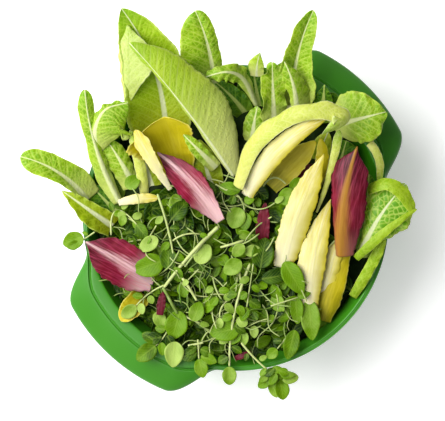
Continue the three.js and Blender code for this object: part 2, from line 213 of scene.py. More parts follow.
class Sheet:
    """A node tree with short ways to add nodes and join them."""

    def __init__(self, tree: bpy.types.NodeTree) -> None:
        """Starts on an existing tree."""
        self.tree = tree

    def node(self, kind: str, inputs: Optional[dict] = None, **settings: object) -> bpy.types.Node:
        """Adds a node.

        Args:
            kind: The node's type name.
            inputs: Values or sockets for its inputs, by name or number.
            settings: The node's own properties.

        Returns:
            The new node.
        """
        made = self.tree.nodes.new(kind)
        for key, value in settings.items():
            setattr(made, key, value)
        for key, value in (inputs or {}).items():
            self.feed(made.inputs[key], value)
        return made

    def feed(self, socket: bpy.types.NodeSocket, value: object) -> None:
        """Joins a socket to another, or sets its own value."""
        if isinstance(value, bpy.types.NodeSocket):
            self.tree.links.new(value, socket)
        elif isinstance(value, tuple) and socket.type == "RGBA":
            socket.default_value = (*value[:3], 1.0)
        else:
            socket.default_value = value

    def maths(self, operation: str, *values: object, clamp: bool = False) -> bpy.types.NodeSocket:
        """A Math node's result."""
        made = self.node("ShaderNodeMath", dict(enumerate(values)), operation=operation)
        made.use_clamp = clamp
        return made.outputs[0]

    def ramp(self, value: object, low: float, high: float, start: float = 0.0,
             end: float = 1.0) -> bpy.types.NodeSocket:
        """A value eased from start to end as it goes from low to high."""
        made = self.node("ShaderNodeMapRange", {"Value": value, "From Min": low, "From Max": high,
                                                "To Min": start, "To Max": end})
        made.interpolation_type = "SMOOTHSTEP"
        return made.outputs["Result"]

    def blend(self, share: object, first: object, second: object, mode: str = "MIX") -> bpy.types.NodeSocket:
        """Two colours mixed."""
        made = self.node("ShaderNodeMix", data_type="RGBA", blend_type=mode)
        for index, value in ((0, share), (6, first), (7, second)):
            self.feed(made.inputs[index], value)
        return made.outputs[2]

    def noise(self, place: object, scale: float, detail: float = 2.0,
              roughness: float = 0.5) -> bpy.types.NodeSocket:
        """Cloudy noise from 0 to 1."""
        made = self.node("ShaderNodeTexNoise", {"Vector": place, "Scale": scale, "Detail": detail,
                                                "Roughness": roughness})
        return made.outputs["Fac"]


class EffectGroups:
    """The shader effects that several finishes share, each a node group made once."""

    def __init__(self) -> None:
        """Builds the groups."""
        self.veins = self._vein_group()
        self.speckle = self._speckle_group()

    @staticmethod
    def _new(name: str, inputs: dict[str, tuple[str, float]],
             outputs: Iterable[str]) -> tuple[Sheet, dict, object]:
        """An empty group with its sockets: the sheet, the input sockets and the output node."""
        tree = bpy.data.node_groups.new(name, "ShaderNodeTree")
        for title, (kind, value) in inputs.items():
            socket = tree.interface.new_socket(name=title, in_out="INPUT", socket_type=kind)
            if kind == "NodeSocketFloat":
                socket.default_value = value
        for title in outputs:
            tree.interface.new_socket(name=title, in_out="OUTPUT", socket_type="NodeSocketFloat")
        sheet = Sheet(tree)
        entry = sheet.node("NodeGroupInput")
        leave = sheet.node("NodeGroupOutput")
        return sheet, {title: entry.outputs[title] for title in inputs}, leave

    def _vein_group(self) -> bpy.types.NodeTree:
        """A leaf's midrib, its side veins and the fine net between them."""
        floats = {"Rib Width": 0.1, "Rib Softness": 0.55, "Spacing": 0.08, "Forward": 0.7, "Net": 30.0,
                  "Wander": 0.02, "Streaks": 0.0}
        sockets = {"Blade": ("NodeSocketVector", 0.0), "Span": ("NodeSocketVector", 0.0)}
        sockets.update({name: ("NodeSocketFloat", value) for name, value in floats.items()})
        results = ("Rib", "Veins", "Net", "Cells", "Fibre", "Height", "Side", "Along")
        sheet, given, leave = self._new("leaf_veins", sockets, results)
        blade = sheet.node("ShaderNodeSeparateXYZ", {0: given["Blade"]}).outputs
        span = sheet.node("ShaderNodeSeparateXYZ", {0: given["Span"]}).outputs
        side = sheet.maths("ABSOLUTE", sheet.maths("MULTIPLY_ADD", blade[0], 2.0, -1.0))
        reach = sheet.maths("ABSOLUTE", span[0])
        taper = sheet.ramp(blade[1], 0.0, 1.0, 1.0, 0.16)
        rib_edge = sheet.maths("MULTIPLY", given["Rib Width"], taper)
        stretched = sheet.node("ShaderNodeVectorMath", {0: given["Span"], 1: (70.0, 5.0, 1.0)},
                               operation="MULTIPLY").outputs[0]
        fibre = sheet.noise(stretched, 1.0, 3.0, 0.6)
        streak = sheet.maths("MULTIPLY", sheet.maths("SUBTRACT", fibre, 0.5), given["Streaks"])
        rib = sheet.maths("ADD", sheet.maths("SUBTRACT", 1.0, sheet.maths("DIVIDE", reach, rib_edge)), streak)
        rib = sheet.ramp(rib, 0.0, given["Rib Softness"])
        wobble = sheet.maths("MULTIPLY", sheet.noise(given["Span"], 9.0, 2.0), given["Wander"])
        forward = sheet.maths("MULTIPLY", sheet.maths("POWER", reach, 0.85), given["Forward"])
        phase = sheet.maths("DIVIDE", sheet.maths("ADD", sheet.maths("SUBTRACT", span[1], forward), wobble),
                            given["Spacing"])
        wave = sheet.maths("ABSOLUTE", sheet.maths("SUBTRACT", sheet.maths("FRACT", phase), 0.5))
        thin = sheet.ramp(side, 0.0, 1.0, 0.17, 0.05)
        veins = sheet.maths("SUBTRACT", 1.0, sheet.maths("DIVIDE", wave, thin), clamp=True)
        cells = sheet.node("ShaderNodeTexVoronoi", {"Vector": given["Span"], "Scale": given["Net"]},
                           feature="DISTANCE_TO_EDGE")
        net = sheet.ramp(cells.outputs["Distance"], 0.0, 0.14, 1.0, 0.0)
        puff = sheet.maths("MULTIPLY", sheet.ramp(wave, 0.0, 0.4),
                           sheet.ramp(cells.outputs["Distance"], 0.0, 0.3))
        height = sheet.maths("ADD", puff, sheet.maths("MULTIPLY", rib, 0.8))
        for title, value in (("Rib", rib), ("Veins", veins), ("Net", net), ("Cells", puff), ("Fibre", fibre),
                             ("Height", height), ("Side", side), ("Along", blade[1])):
            sheet.feed(leave.inputs[title], value)
        return sheet.tree

    def _speckle_group(self) -> bpy.types.NodeTree:
        """Cloudy patches with finer grain on top."""
        sockets = {"Place": ("NodeSocketVector", 0.0), "Scale": ("NodeSocketFloat", 20.0),
                   "Contrast": ("NodeSocketFloat", 0.25)}
        sheet, given, leave = self._new("patchy_colour", sockets, ("Mask",))
        broad = sheet.node("ShaderNodeTexNoise",
                           {"Vector": given["Place"], "Scale": given["Scale"], "Detail": 3.0})
        low = sheet.maths("SUBTRACT", 0.5, given["Contrast"])
        high = sheet.maths("ADD", 0.5, given["Contrast"])
        mask = sheet.node("ShaderNodeMapRange",
                          {"Value": broad.outputs["Fac"], "From Min": low, "From Max": high})
        sheet.feed(leave.inputs["Mask"], mask.outputs["Result"])
        return sheet.tree


@dataclass(frozen=True)
class Finish:
    """What every finish shares: its name, gloss and softness."""

    name: str
    roughness: float = 0.42
    shine: float = 0.25
    under_skin: float = 0.0

    def start(self) -> tuple[bpy.types.Material, Sheet, bpy.types.Node]:
        """A new material with its shader.

        Returns:
            The material, its sheet and its Principled shader.
        """
        material = bpy.data.materials.new(self.name)
        material.use_nodes = True
        sheet = Sheet(material.node_tree)
        shader = material.node_tree.nodes["Principled BSDF"]
        shader.inputs["Roughness"].default_value = self.roughness
        shader.inputs["Specular IOR Level"].default_value = self.shine
        if self.under_skin:
            shader.inputs["Subsurface Weight"].default_value = self.under_skin
            shader.inputs["Subsurface Radius"].default_value = (0.8, 1.0, 0.25)
            shader.inputs["Subsurface Scale"].default_value = 0.003
        return material, sheet, shader

    @staticmethod
    def bumped(sheet: Sheet, shader: bpy.types.Node, height: bpy.types.NodeSocket, strength: float,
               distance: float) -> None:
        """Joins a height to the shader through a Bump node."""
        bump = sheet.node("ShaderNodeBump", {"Height": height, "Strength": strength, "Distance": distance})
        sheet.feed(shader.inputs["Normal"], bump.outputs["Normal"])


@dataclass(frozen=True)
class LeafFinish(Finish):
    """A big leaf: a blade paler at its base, with a light midrib, side veins and a fine net."""

    blade: Colour = paint(150, 185, 50)
    deep: Colour = paint(90, 135, 20)
    base: Colour = paint(215, 220, 130)
    tip: Colour = paint(140, 180, 40)
    rib: Colour = paint(225, 232, 180)
    vein: Colour = paint(200, 215, 120)
    edge: Colour = paint(190, 210, 100)
    back: Colour = paint(206, 222, 130)
    back_share: float = 0.6
    flank: Colour = paint(200, 186, 6)
    flank_share: float = 0.0
    base_reach: float = 0.45
    tip_start: float = 0.75
    vein_share: float = 0.6
    net_share: float = 0.25
    patch_scale: float = 4.0
    rib_width: float = 0.035
    rib_soft: float = 0.55
    rib_share: float = 0.95
    streaks: float = 0.0
    fibre: float = 0.0
    quilting: float = 0.0
    spacing: float = 0.09
    forward: float = 0.8
    net: float = 26.0
    bump: float = 0.5

    def build(self, groups: EffectGroups) -> bpy.types.Material:
        """Makes the material.

        Args:
            groups: The shared effects.

        Returns:
            The new material.
        """
        material, sheet, shader = self.start()
        blade_map = sheet.node("ShaderNodeUVMap", uv_map="blade").outputs[0]
        span_map = sheet.node("ShaderNodeUVMap", uv_map="span").outputs[0]
        veins = sheet.node("ShaderNodeGroup", node_tree=groups.veins)
        values = {"Blade": blade_map, "Span": span_map, "Rib Width": self.rib_width,
                  "Rib Softness": self.rib_soft, "Spacing": self.spacing, "Forward": self.forward,
                   "Net": self.net,
                  "Streaks": self.streaks}
        for title, value in values.items():
            sheet.feed(veins.inputs[title], value)
        patches = sheet.node("ShaderNodeGroup", node_tree=groups.speckle)
        sheet.feed(patches.inputs["Place"], span_map)
        sheet.feed(patches.inputs["Scale"], self.patch_scale)
        out = veins.outputs
        tone = sheet.node("ShaderNodeAttribute", attribute_name="tone").outputs["Fac"]
        shade = sheet.maths("ADD", sheet.maths("MULTIPLY", patches.outputs["Mask"], 0.7),
                            sheet.maths("MULTIPLY", sheet.maths("SUBTRACT", tone, 0.5), 0.8), clamp=True)
        colour = sheet.blend(shade, self.blade, self.deep)
        colour = sheet.blend(sheet.ramp(out["Along"], self.tip_start, 1.0, 0.0, 0.9), colour, self.tip)
        colour = sheet.blend(sheet.ramp(out["Along"], 0.0, self.base_reach, 0.95, 0.0), colour, self.base)
        inner = sheet.maths("MULTIPLY", sheet.ramp(out["Side"], 0.45, 0.95, self.quilting, 0.0),
                            sheet.ramp(out["Along"], 0.25, 0.6))
        colour = sheet.blend(sheet.maths("MULTIPLY", inner, out["Cells"]), colour, self.deep)
        fibre = sheet.ramp(out["Fibre"], 0.4, 0.65, 0.0, self.fibre)
        colour = sheet.blend(fibre, colour, self.vein)
        # Margin colour: on the lettuces paler than the blade, partly the leaf's own pale edge and partly a
        # painted highlight along the rim.
        colour = sheet.blend(sheet.ramp(out["Side"], 0.86, 1.0, 0.0, 0.6), colour, self.edge)
        colour = sheet.blend(sheet.maths("MULTIPLY", out["Net"], self.net_share), colour, self.vein)
        colour = sheet.blend(sheet.maths("MULTIPLY", out["Veins"], self.vein_share), colour, self.vein)
        colour = sheet.blend(sheet.maths("MULTIPLY", out["Rib"], self.rib_share), colour, self.rib)
        across = sheet.node("ShaderNodeSeparateXYZ", {0: blade_map}).outputs[0]
        colour = sheet.blend(sheet.ramp(across, 0.55, 1.0, 0.0, self.flank_share), colour, self.flank)
        back = sheet.node("ShaderNodeAttribute", attribute_name="back").outputs["Fac"]
        colour = sheet.blend(sheet.maths("MULTIPLY", back, self.back_share), colour, self.back)
        sheet.feed(shader.inputs["Base Color"], colour)
        gloss = sheet.ramp(patches.outputs["Mask"], 0.0, 1.0, self.roughness - 0.06, self.roughness + 0.08)
        sheet.feed(shader.inputs["Roughness"], gloss)
        self.bumped(sheet, shader, out["Height"], self.bump, 0.0012)
        return material


@dataclass(frozen=True)
class CressFinish(Finish):
    """Watercress: small smooth leaflets from dark to pale green, by the tone of each; the darkest greens are
    painted shade.
    """

    # dark is mostly painted shade: the low tangle's tones sit near it, for leaflets under the others.
    dark: Colour = paint(28, 60, 0)
    middle: Colour = paint(106, 150, 2)
    pale: Colour = paint(178, 206, 100)
    vein: Colour = paint(160, 190, 70)

    def build(self, groups: EffectGroups) -> bpy.types.Material:
        """Makes the material from the shared effects."""
        material, sheet, shader = self.start()
        blade_map = sheet.node("ShaderNodeUVMap", uv_map="blade").outputs[0]
        span_map = sheet.node("ShaderNodeUVMap", uv_map="span").outputs[0]
        veins = sheet.node("ShaderNodeGroup", node_tree=groups.veins)
        values = {"Blade": blade_map, "Span": span_map, "Rib Width": 0.012, "Spacing": 0.035, "Forward": 0.9,
                  "Net": 60.0}
        for title, value in values.items():
            sheet.feed(veins.inputs[title], value)
        patches = sheet.node("ShaderNodeGroup", node_tree=groups.speckle)
        sheet.feed(patches.inputs["Place"], sheet.node("ShaderNodeTexCoord").outputs["Object"])
        sheet.feed(patches.inputs["Scale"], 90.0)
        tone = sheet.node("ShaderNodeAttribute", attribute_name="tone").outputs["Fac"]
        tone = sheet.maths("ADD", tone, sheet.ramp(patches.outputs["Mask"], 0.0, 1.0, -0.12, 0.12))
        colour = sheet.blend(sheet.ramp(tone, 0.0, 0.5), self.dark, self.middle)
        colour = sheet.blend(sheet.ramp(tone, 0.5, 1.0), colour, self.pale)
        drawn = sheet.maths("MAXIMUM", veins.outputs["Rib"], veins.outputs["Veins"])
        lines = sheet.maths("MULTIPLY", drawn, 0.28)
        colour = sheet.blend(lines, colour, self.vein)
        sheet.feed(shader.inputs["Base Color"], colour)
        self.bumped(sheet, shader, veins.outputs["Height"], 0.25, 0.0005)
        return material


@dataclass(frozen=True)
class StemFinish(Finish):
    """Watercress stems: pale green with faint darker and whiter stretches."""

    pale: Colour = paint(205, 218, 140)
    green: Colour = paint(96, 138, 20)

    def build(self, groups: EffectGroups) -> bpy.types.Material:
        """Makes the material from the shared effects."""
        material, sheet, shader = self.start()
        patches = sheet.node("ShaderNodeGroup", node_tree=groups.speckle)
        place = sheet.node("ShaderNodeTexCoord").outputs["Object"]
        sheet.feed(patches.inputs["Place"], place)
        sheet.feed(patches.inputs["Scale"], 35.0)
        tone = sheet.node("ShaderNodeAttribute", attribute_name="tone").outputs["Fac"]
        share = sheet.maths("ADD", sheet.maths("MULTIPLY", patches.outputs["Mask"], 0.5), tone, clamp=True)
        sheet.feed(shader.inputs["Base Color"], sheet.blend(share, self.green, self.pale))
        grain = sheet.noise(place, 900.0, 2.0)
        self.bumped(sheet, shader, grain, 0.2, 0.0003)
        return material


@dataclass(frozen=True)
class PlasticFinish(Finish):
    """Moulded green plastic with a soft gloss and the faintest grain."""

    colour: Colour = paint(54, 136, 8)
    worn: Colour = paint(66, 146, 24)

    def build(self, groups: EffectGroups) -> bpy.types.Material:
        """Makes the material from the shared effects."""
        material, sheet, shader = self.start()
        place = sheet.node("ShaderNodeTexCoord").outputs["Object"]
        patches = sheet.node("ShaderNodeGroup", node_tree=groups.speckle)
        sheet.feed(patches.inputs["Place"], place)
        sheet.feed(patches.inputs["Scale"], 9.0)
        sheet.feed(shader.inputs["Base Color"], sheet.blend(patches.outputs["Mask"], self.colour, self.worn))
        fine = sheet.noise(place, 1400.0, 2.0)
        gloss = sheet.ramp(patches.outputs["Mask"], 0.0, 1.0, self.roughness - 0.03, self.roughness + 0.05)
        sheet.feed(shader.inputs["Roughness"], gloss)
        self.bumped(sheet, shader, fine, 0.06, 0.0002)
        return material


@dataclass(frozen=True)
class CorePaintedShadeFinish(Finish):
    """The shaded leaves deep in the heap, seen only through gaps, in near-black greens that are painted
    shade.
    """

    # Both colours are painted shade for the dark gaps deep in the heap.
    dark: Colour = paint(8, 16, 2)
    light: Colour = paint(30, 52, 8)

    def build(self, groups: EffectGroups) -> bpy.types.Material:
        """Makes the material from the shared effects."""
        material, sheet, shader = self.start()
        place = sheet.node("ShaderNodeTexCoord").outputs["Object"]
        cells = sheet.node("ShaderNodeTexVoronoi", {"Vector": place, "Scale": 70.0})
        patches = sheet.node("ShaderNodeGroup", node_tree=groups.speckle)
        sheet.feed(patches.inputs["Place"], place)
        sheet.feed(patches.inputs["Scale"], 45.0)
        sheet.feed(shader.inputs["Base Color"], sheet.blend(patches.outputs["Mask"], self.dark, self.light))
        self.bumped(sheet, shader, cells.outputs["Distance"], 0.8, 0.004)
        return material


class LeafKind(Enum):
    """The finishes a big leaf can wear."""

    BRIGHT = "lettuce_bright"
    PALE = "lettuce_pale"
    # A darker copy of the lettuce finish: painted shade for leaves that lie low in the gaps.
    DEEP = "lettuce_deep"
    OLIVE = "lettuce_olive"
    OLD = "lettuce_old"
    # A pale copy of the lettuce finish: partly the leaf's paler outer face, partly painted light on the side
    # turned to the lamp.
    FLANK = "lettuce_flank"
    SMOOTH = "lettuce_smooth"
    ARCH = "lettuce_arch"
    NET = "lettuce_net"
    CREAM = "endive_cream"
    CREAM_GOLD = "endive_cream_gold"
    GOLD = "endive_gold"
    RED = "endive_red"
    RED_STRIPED = "endive_red_striped"
    # Red endive colour darkened to paint the shadow that these pieces lie in.
    MAROON = "endive_red_dark"

    @property
    def slot(self) -> str:
        """The record's material slot for this kind."""
        if self.value.startswith("lettuce"):
            return "lettuce_leaf"
        if self.value.startswith("endive_cream"):
            return "endive_pale"
        return "endive_gold" if self is LeafKind.GOLD else "endive_red"


class Wardrobe:
    """Every finish of the salad, made once."""

    def __init__(self) -> None:
        """Builds all materials."""
        groups = EffectGroups()
        lettuce = dict(roughness=0.46, shine=0.22, under_skin=0.2, bump=0.22, vein_share=0.45, net_share=0.3,
                       quilting=0.5)
        endive = dict(roughness=0.45, shine=0.22, under_skin=0.25, vein_share=0.3, net_share=0.0, spacing=0.5,
                      forward=4.5, bump=0.12, net=3.0, back_share=0.2, fibre=0.35)
        kinds = {
            LeafKind.BRIGHT: LeafFinish(
                "lettuce_bright", blade=paint(158, 194, 26), deep=paint(100, 150, 4),
                base=paint(206, 218, 116), tip=paint(126, 178, 20), vein=paint(206, 222, 106),
                rib=paint(226, 234, 170), edge=paint(190, 214, 90), **lettuce
            ),
            LeafKind.PALE: LeafFinish(
                "lettuce_pale", blade=paint(182, 208, 54), deep=paint(144, 184, 18),
                base=paint(220, 226, 140), tip=paint(150, 190, 40), base_reach=0.7, rib_width=0.016,
                **{**lettuce, "quilting": 0.1, "net_share": 0.1}
            ),
            # Painted shade: the lettuce colours darkened for leaves low in the heap's gaps.
            LeafKind.DEEP: LeafFinish(
                "lettuce_deep", blade=paint(72, 128, 8), deep=paint(36, 84, 2), base=paint(120, 150, 30),
                tip=paint(66, 120, 6), vein=paint(130, 170, 40), rib=paint(190, 208, 110),
                edge=paint(120, 164, 40), **lettuce
            ),
            LeafKind.OLIVE: LeafFinish(
                "lettuce_olive", blade=paint(160, 182, 10), deep=paint(118, 144, 0),
                base=paint(140, 150, 6), tip=paint(190, 208, 50), vein=paint(178, 196, 50), **lettuce
            ),
            LeafKind.OLD: LeafFinish(
                "lettuce_old", blade=paint(160, 192, 24), deep=paint(136, 172, 10),
                base=paint(176, 184, 24), tip=paint(120, 174, 24), vein=paint(192, 214, 80),
                edge=paint(214, 232, 140), back=paint(226, 240, 160), **{**lettuce, "back_share": 0.95}
            ),
            # Partly the paler outer face of the leaf, partly painted light on the flank turned to the key
            # light.
            LeafKind.FLANK: LeafFinish(
                "lettuce_flank", blade=paint(204, 222, 120), deep=paint(184, 210, 90),
                base=paint(196, 214, 100), tip=paint(170, 200, 70), vein=paint(222, 234, 150),
                edge=paint(222, 236, 160), rib_share=0.0, **{**lettuce, "quilting": 0.0}
            ),
            LeafKind.SMOOTH: LeafFinish(
                "lettuce_smooth", blade=paint(164, 196, 30), deep=paint(136, 178, 12),
                base=paint(130, 166, 10), tip=paint(170, 200, 40), vein=paint(184, 208, 70),
                edge=paint(206, 222, 100), rib_share=0.0, **{**lettuce, "quilting": 0.0}
            ),
            # The near-white edge of lettuce_arch is in part a painted highlight along its margin.
            LeafKind.ARCH: LeafFinish(
                "lettuce_arch", blade=paint(214, 222, 104), deep=paint(190, 206, 64),
                base=paint(222, 224, 120), tip=paint(150, 196, 50), vein=paint(226, 230, 140),
                edge=paint(244, 246, 196), rib_share=0.0, tip_start=0.7, base_reach=0.3,
                **{**lettuce, "quilting": 0.2}
            ),
            LeafKind.NET: LeafFinish(
                "lettuce_net", blade=paint(120, 176, 14), deep=paint(90, 150, 4), base=paint(170, 200, 60),
                tip=paint(130, 184, 30), vein=paint(206, 222, 110), net=19.0,
                **{**lettuce, "net_share": 0.5, "quilting": 0.8}
            ),
            LeafKind.CREAM: LeafFinish(
                "endive_cream", blade=paint(242, 232, 140), deep=paint(228, 214, 92),
                base=paint(246, 240, 196), tip=paint(222, 204, 40), rib=paint(246, 242, 200),
                vein=paint(246, 240, 180), edge=paint(238, 226, 110), base_reach=0.7, tip_start=0.55,
                rib_share=0.2, back=paint(250, 242, 190), **endive
            ),
            LeafKind.CREAM_GOLD: LeafFinish(
                "endive_cream_gold", blade=paint(244, 234, 150), deep=paint(230, 218, 100),
                base=paint(246, 240, 196), tip=paint(216, 198, 30), rib=paint(246, 242, 200),
                vein=paint(248, 242, 186), edge=paint(236, 224, 110), base_reach=0.6, tip_start=0.6,
                rib_share=0.15, back=paint(250, 242, 190), flank=paint(214, 200, 20), flank_share=0.9,
                **{**endive, "fibre": 0.55, "bump": 0.2}
            ),
            LeafKind.GOLD: LeafFinish(
                "endive_gold", blade=paint(200, 186, 6), deep=paint(160, 146, 0), base=paint(140, 140, 10),
                tip=paint(226, 212, 40), rib=paint(214, 200, 60), vein=paint(216, 200, 40),
                edge=paint(240, 228, 110), rib_share=0.2, back=paint(246, 236, 170), **endive
            ),
            LeafKind.RED: LeafFinish(
                "endive_red", blade=paint(150, 10, 48), deep=paint(84, 0, 14), base=paint(240, 196, 196),
                tip=paint(52, 0, 6), rib=paint(246, 206, 206), vein=paint(206, 70, 110),
                edge=paint(84, 0, 14), base_reach=0.42, tip_start=0.5, rib_width=0.15, rib_soft=1.5,
                streaks=1.6, back=paint(170, 40, 80), **{**endive, "vein_share": 0.3, "fibre": 0.3}
            ),
            LeafKind.RED_STRIPED: LeafFinish(
                "endive_red_striped", blade=paint(132, 14, 40), deep=paint(84, 2, 22),
                base=paint(158, 96, 96), tip=paint(46, 0, 12), rib=paint(184, 132, 40),
                vein=paint(190, 70, 100), edge=paint(96, 4, 30), base_reach=0.3, tip_start=0.42,
                rib_width=0.13, rib_soft=1.0, streaks=0.9, back=paint(150, 60, 90),
                **{**endive, "vein_share": 0.3}
            ),
        }
        # Painted shade: red endive coloured as it looks in shadow.
        kinds[LeafKind.MAROON] = LeafFinish(
            "endive_red_dark", blade=paint(110, 8, 30), deep=paint(66, 0, 10), base=paint(84, 6, 16),
            tip=paint(70, 0, 12), rib=paint(130, 30, 50), vein=paint(150, 40, 70), edge=paint(80, 0, 14),
            rib_share=0.2, **endive
        )
        self.leaf = {kind: finish.build(groups) for kind, finish in kinds.items()}
        self.cress = CressFinish("cress_leaf", roughness=0.45, shine=0.14, under_skin=0.1).build(groups)
        self.stem = StemFinish("cress_stem", roughness=0.4, shine=0.3, under_skin=0.2).build(groups)
        self.plastic = PlasticFinish("green_plastic", roughness=0.42, shine=0.42).build(groups)
        # The core's near-black finish is painted shade.
        self.core = CorePaintedShadeFinish("deep_leaves", roughness=0.7, shine=0.1).build(groups)


# ---------------------------------------------------------------- the bowl


@dataclass
class Bowl:
    """The round bowl with two broad flange handles that droop from its rim."""

    foot_radius: float = 64.0
    rim_radius: float = 142.0
    mouth_radius: float = 136.5
    wall: float = 3.2
    handle_reach: float = 32.0
    handle_drop: float = 15.0
    handle_band: float = 9.5
    handle_blend: float = 8.0
    handle_spans: tuple[tuple[float, float], ...] = ((45.5, 25.5), (228.0, 27.5))
    groove_width: float = 2.6
    groove_depth: float = 3.4
    steps: int = 420
    height: float = field(init=False)

    def __post_init__(self) -> None:
        """Takes the height from the frame."""
        low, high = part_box("bowl")
        self.height = (high.z - low.z) / MM

    def handle_share(self, angle: float) -> float:
        """How much handle there is at an angle in degrees, from 0 to 1."""
        past = min(abs((angle - middle + 180) % 360 - 180) - half for middle, half in self.handle_spans)
        return float(1 - smooth_step(np.array(past), -self.handle_blend, self.handle_blend))

    def outside_radius(self, height: float) -> float:
        """Radius of the outer wall at a height, a quarter of an ellipse."""
        up = min(1.0, height / (self.height - 4))
        return self.foot_radius + (self.mouth_radius - 3 - self.foot_radius) * math.sqrt(1 - (1 - up) ** 2)

    def outline(self, angle: float) -> np.ndarray:
        """The wall's outline at an angle.

        Args:
            angle: Degrees round the bowl.

        Returns:
            Points (radius, height) in millimetres from the foot's middle to the inner floor's middle.
        """
        share = self.handle_share(angle)
        reach, drop, band = self.handle_reach * share, self.handle_drop * share, self.handle_band * share
        groove = self.groove_depth * min(1.0, 5 * share)
        top = self.height
        groove_at = self.rim_radius - 2.4 + band
        half = self.groove_width / 2
        heights = [1.2, 3, 6, 10, 16, 23, 32, 42, 54, 66, 78, 87]
        outer = [(self.outside_radius(z), z) for z in heights]
        inner = [(self.outside_radius(z) - self.wall, z + self.wall * (1 - z / top))
                 for z in reversed(heights)]
        sharp = [
            (self.mouth_radius + 0.3, top - 9),
            (self.rim_radius - 2 + band, top - 6.3 - 0.25 * drop),
            (self.rim_radius - 1.0 + 0.6 * reach + 0.2 * band, top - 6.0 - 0.66 * drop),
            (self.rim_radius - 0.8 + reach, top - 5.7 - drop),
            (self.rim_radius + reach, top - 3.8 - drop),
            (self.rim_radius - 1.0 + reach, top - 1.8 - 0.96 * drop),
            (groove_at + half + 0.55 * (reach - band), top - 1.1 - 0.52 * drop),
            (groove_at + half + 0.6, top - 0.5 - 0.12 * drop),
            (groove_at + half, top - 0.9 - 0.12 * drop),
            (groove_at, top - 0.4 - groove),
            (groove_at - half, top - 0.5),
            (groove_at - half - 0.7, top - 0.05),
            (self.mouth_radius + 1.9, top),
            (self.mouth_radius + 0.2, top - 0.8),
            (self.mouth_radius - 0.4, top - 3.0),
        ]
        rounded = np.array(sharp)
        for _ in range(2):
            first, second = rounded[:-1], rounded[1:]
            cut = np.empty((2 * len(first), 2))
            cut[0::2], cut[1::2] = 0.75 * first + 0.25 * second, 0.25 * first + 0.75 * second
            rounded = np.vstack([rounded[:1], cut, rounded[-1:]])
        floor = [(self.foot_radius - 4, self.wall), (0.0, self.wall)]
        return np.vstack([[(0.0, 0.0), (self.foot_radius - 1.5, 0.0)], outer, rounded, inner, floor])

    def build(self, material: bpy.types.Material) -> bpy.types.Object:
        """Sweeps the outline round and makes the bowl in its material."""
        rows = [self.outline(360 * k / self.steps) for k in range(self.steps)]
        count = len(rows[0])
        turns = np.radians(np.arange(self.steps) * 360 / self.steps)
        radii, heights = np.array(rows)[:, :, 0], np.array(rows)[:, :, 1]
        grid = np.stack([radii * np.cos(turns)[:, None], radii * np.sin(turns)[:, None], heights], axis=2)
        body = grid[:, 1:-1].reshape(-1, 3)
        inner = count - 2
        bottom, top = len(body), len(body) + 1
        vertices = np.vstack([body, [[0, 0, 0], [0, 0, self.wall]]]) * MM
        here = np.arange(self.steps)[:, None] * inner
        after = (np.arange(self.steps)[:, None] + 1) % self.steps * inner
        i = np.arange(inner - 1)[None, :]
        quads = np.stack([here + i, after + i, after + i + 1, here + i + 1], axis=2).reshape(-1, 4)
        mesh = bpy.data.meshes.new("bowl_shell")
        fans = [(bottom, int(after[k, 0]), int(here[k, 0])) for k in range(self.steps)]
        fans += [(top, int(here[k, 0]) + inner - 1, int(after[k, 0]) + inner - 1) for k in range(self.steps)]
        mesh.from_pydata(vertices.tolist(), [], quads.tolist() + fans)
        mesh.polygons.foreach_set("use_smooth", [True] * len(mesh.polygons))
        mesh.materials.append(material)
        mesh.update()
        piece = bpy.data.objects.new("bowl_shell", mesh)
        bpy.context.scene.collection.objects.link(piece)
        return settle(piece, "bowl_plastic", "bowl")


# ---------------------------------------------------------------- leaves


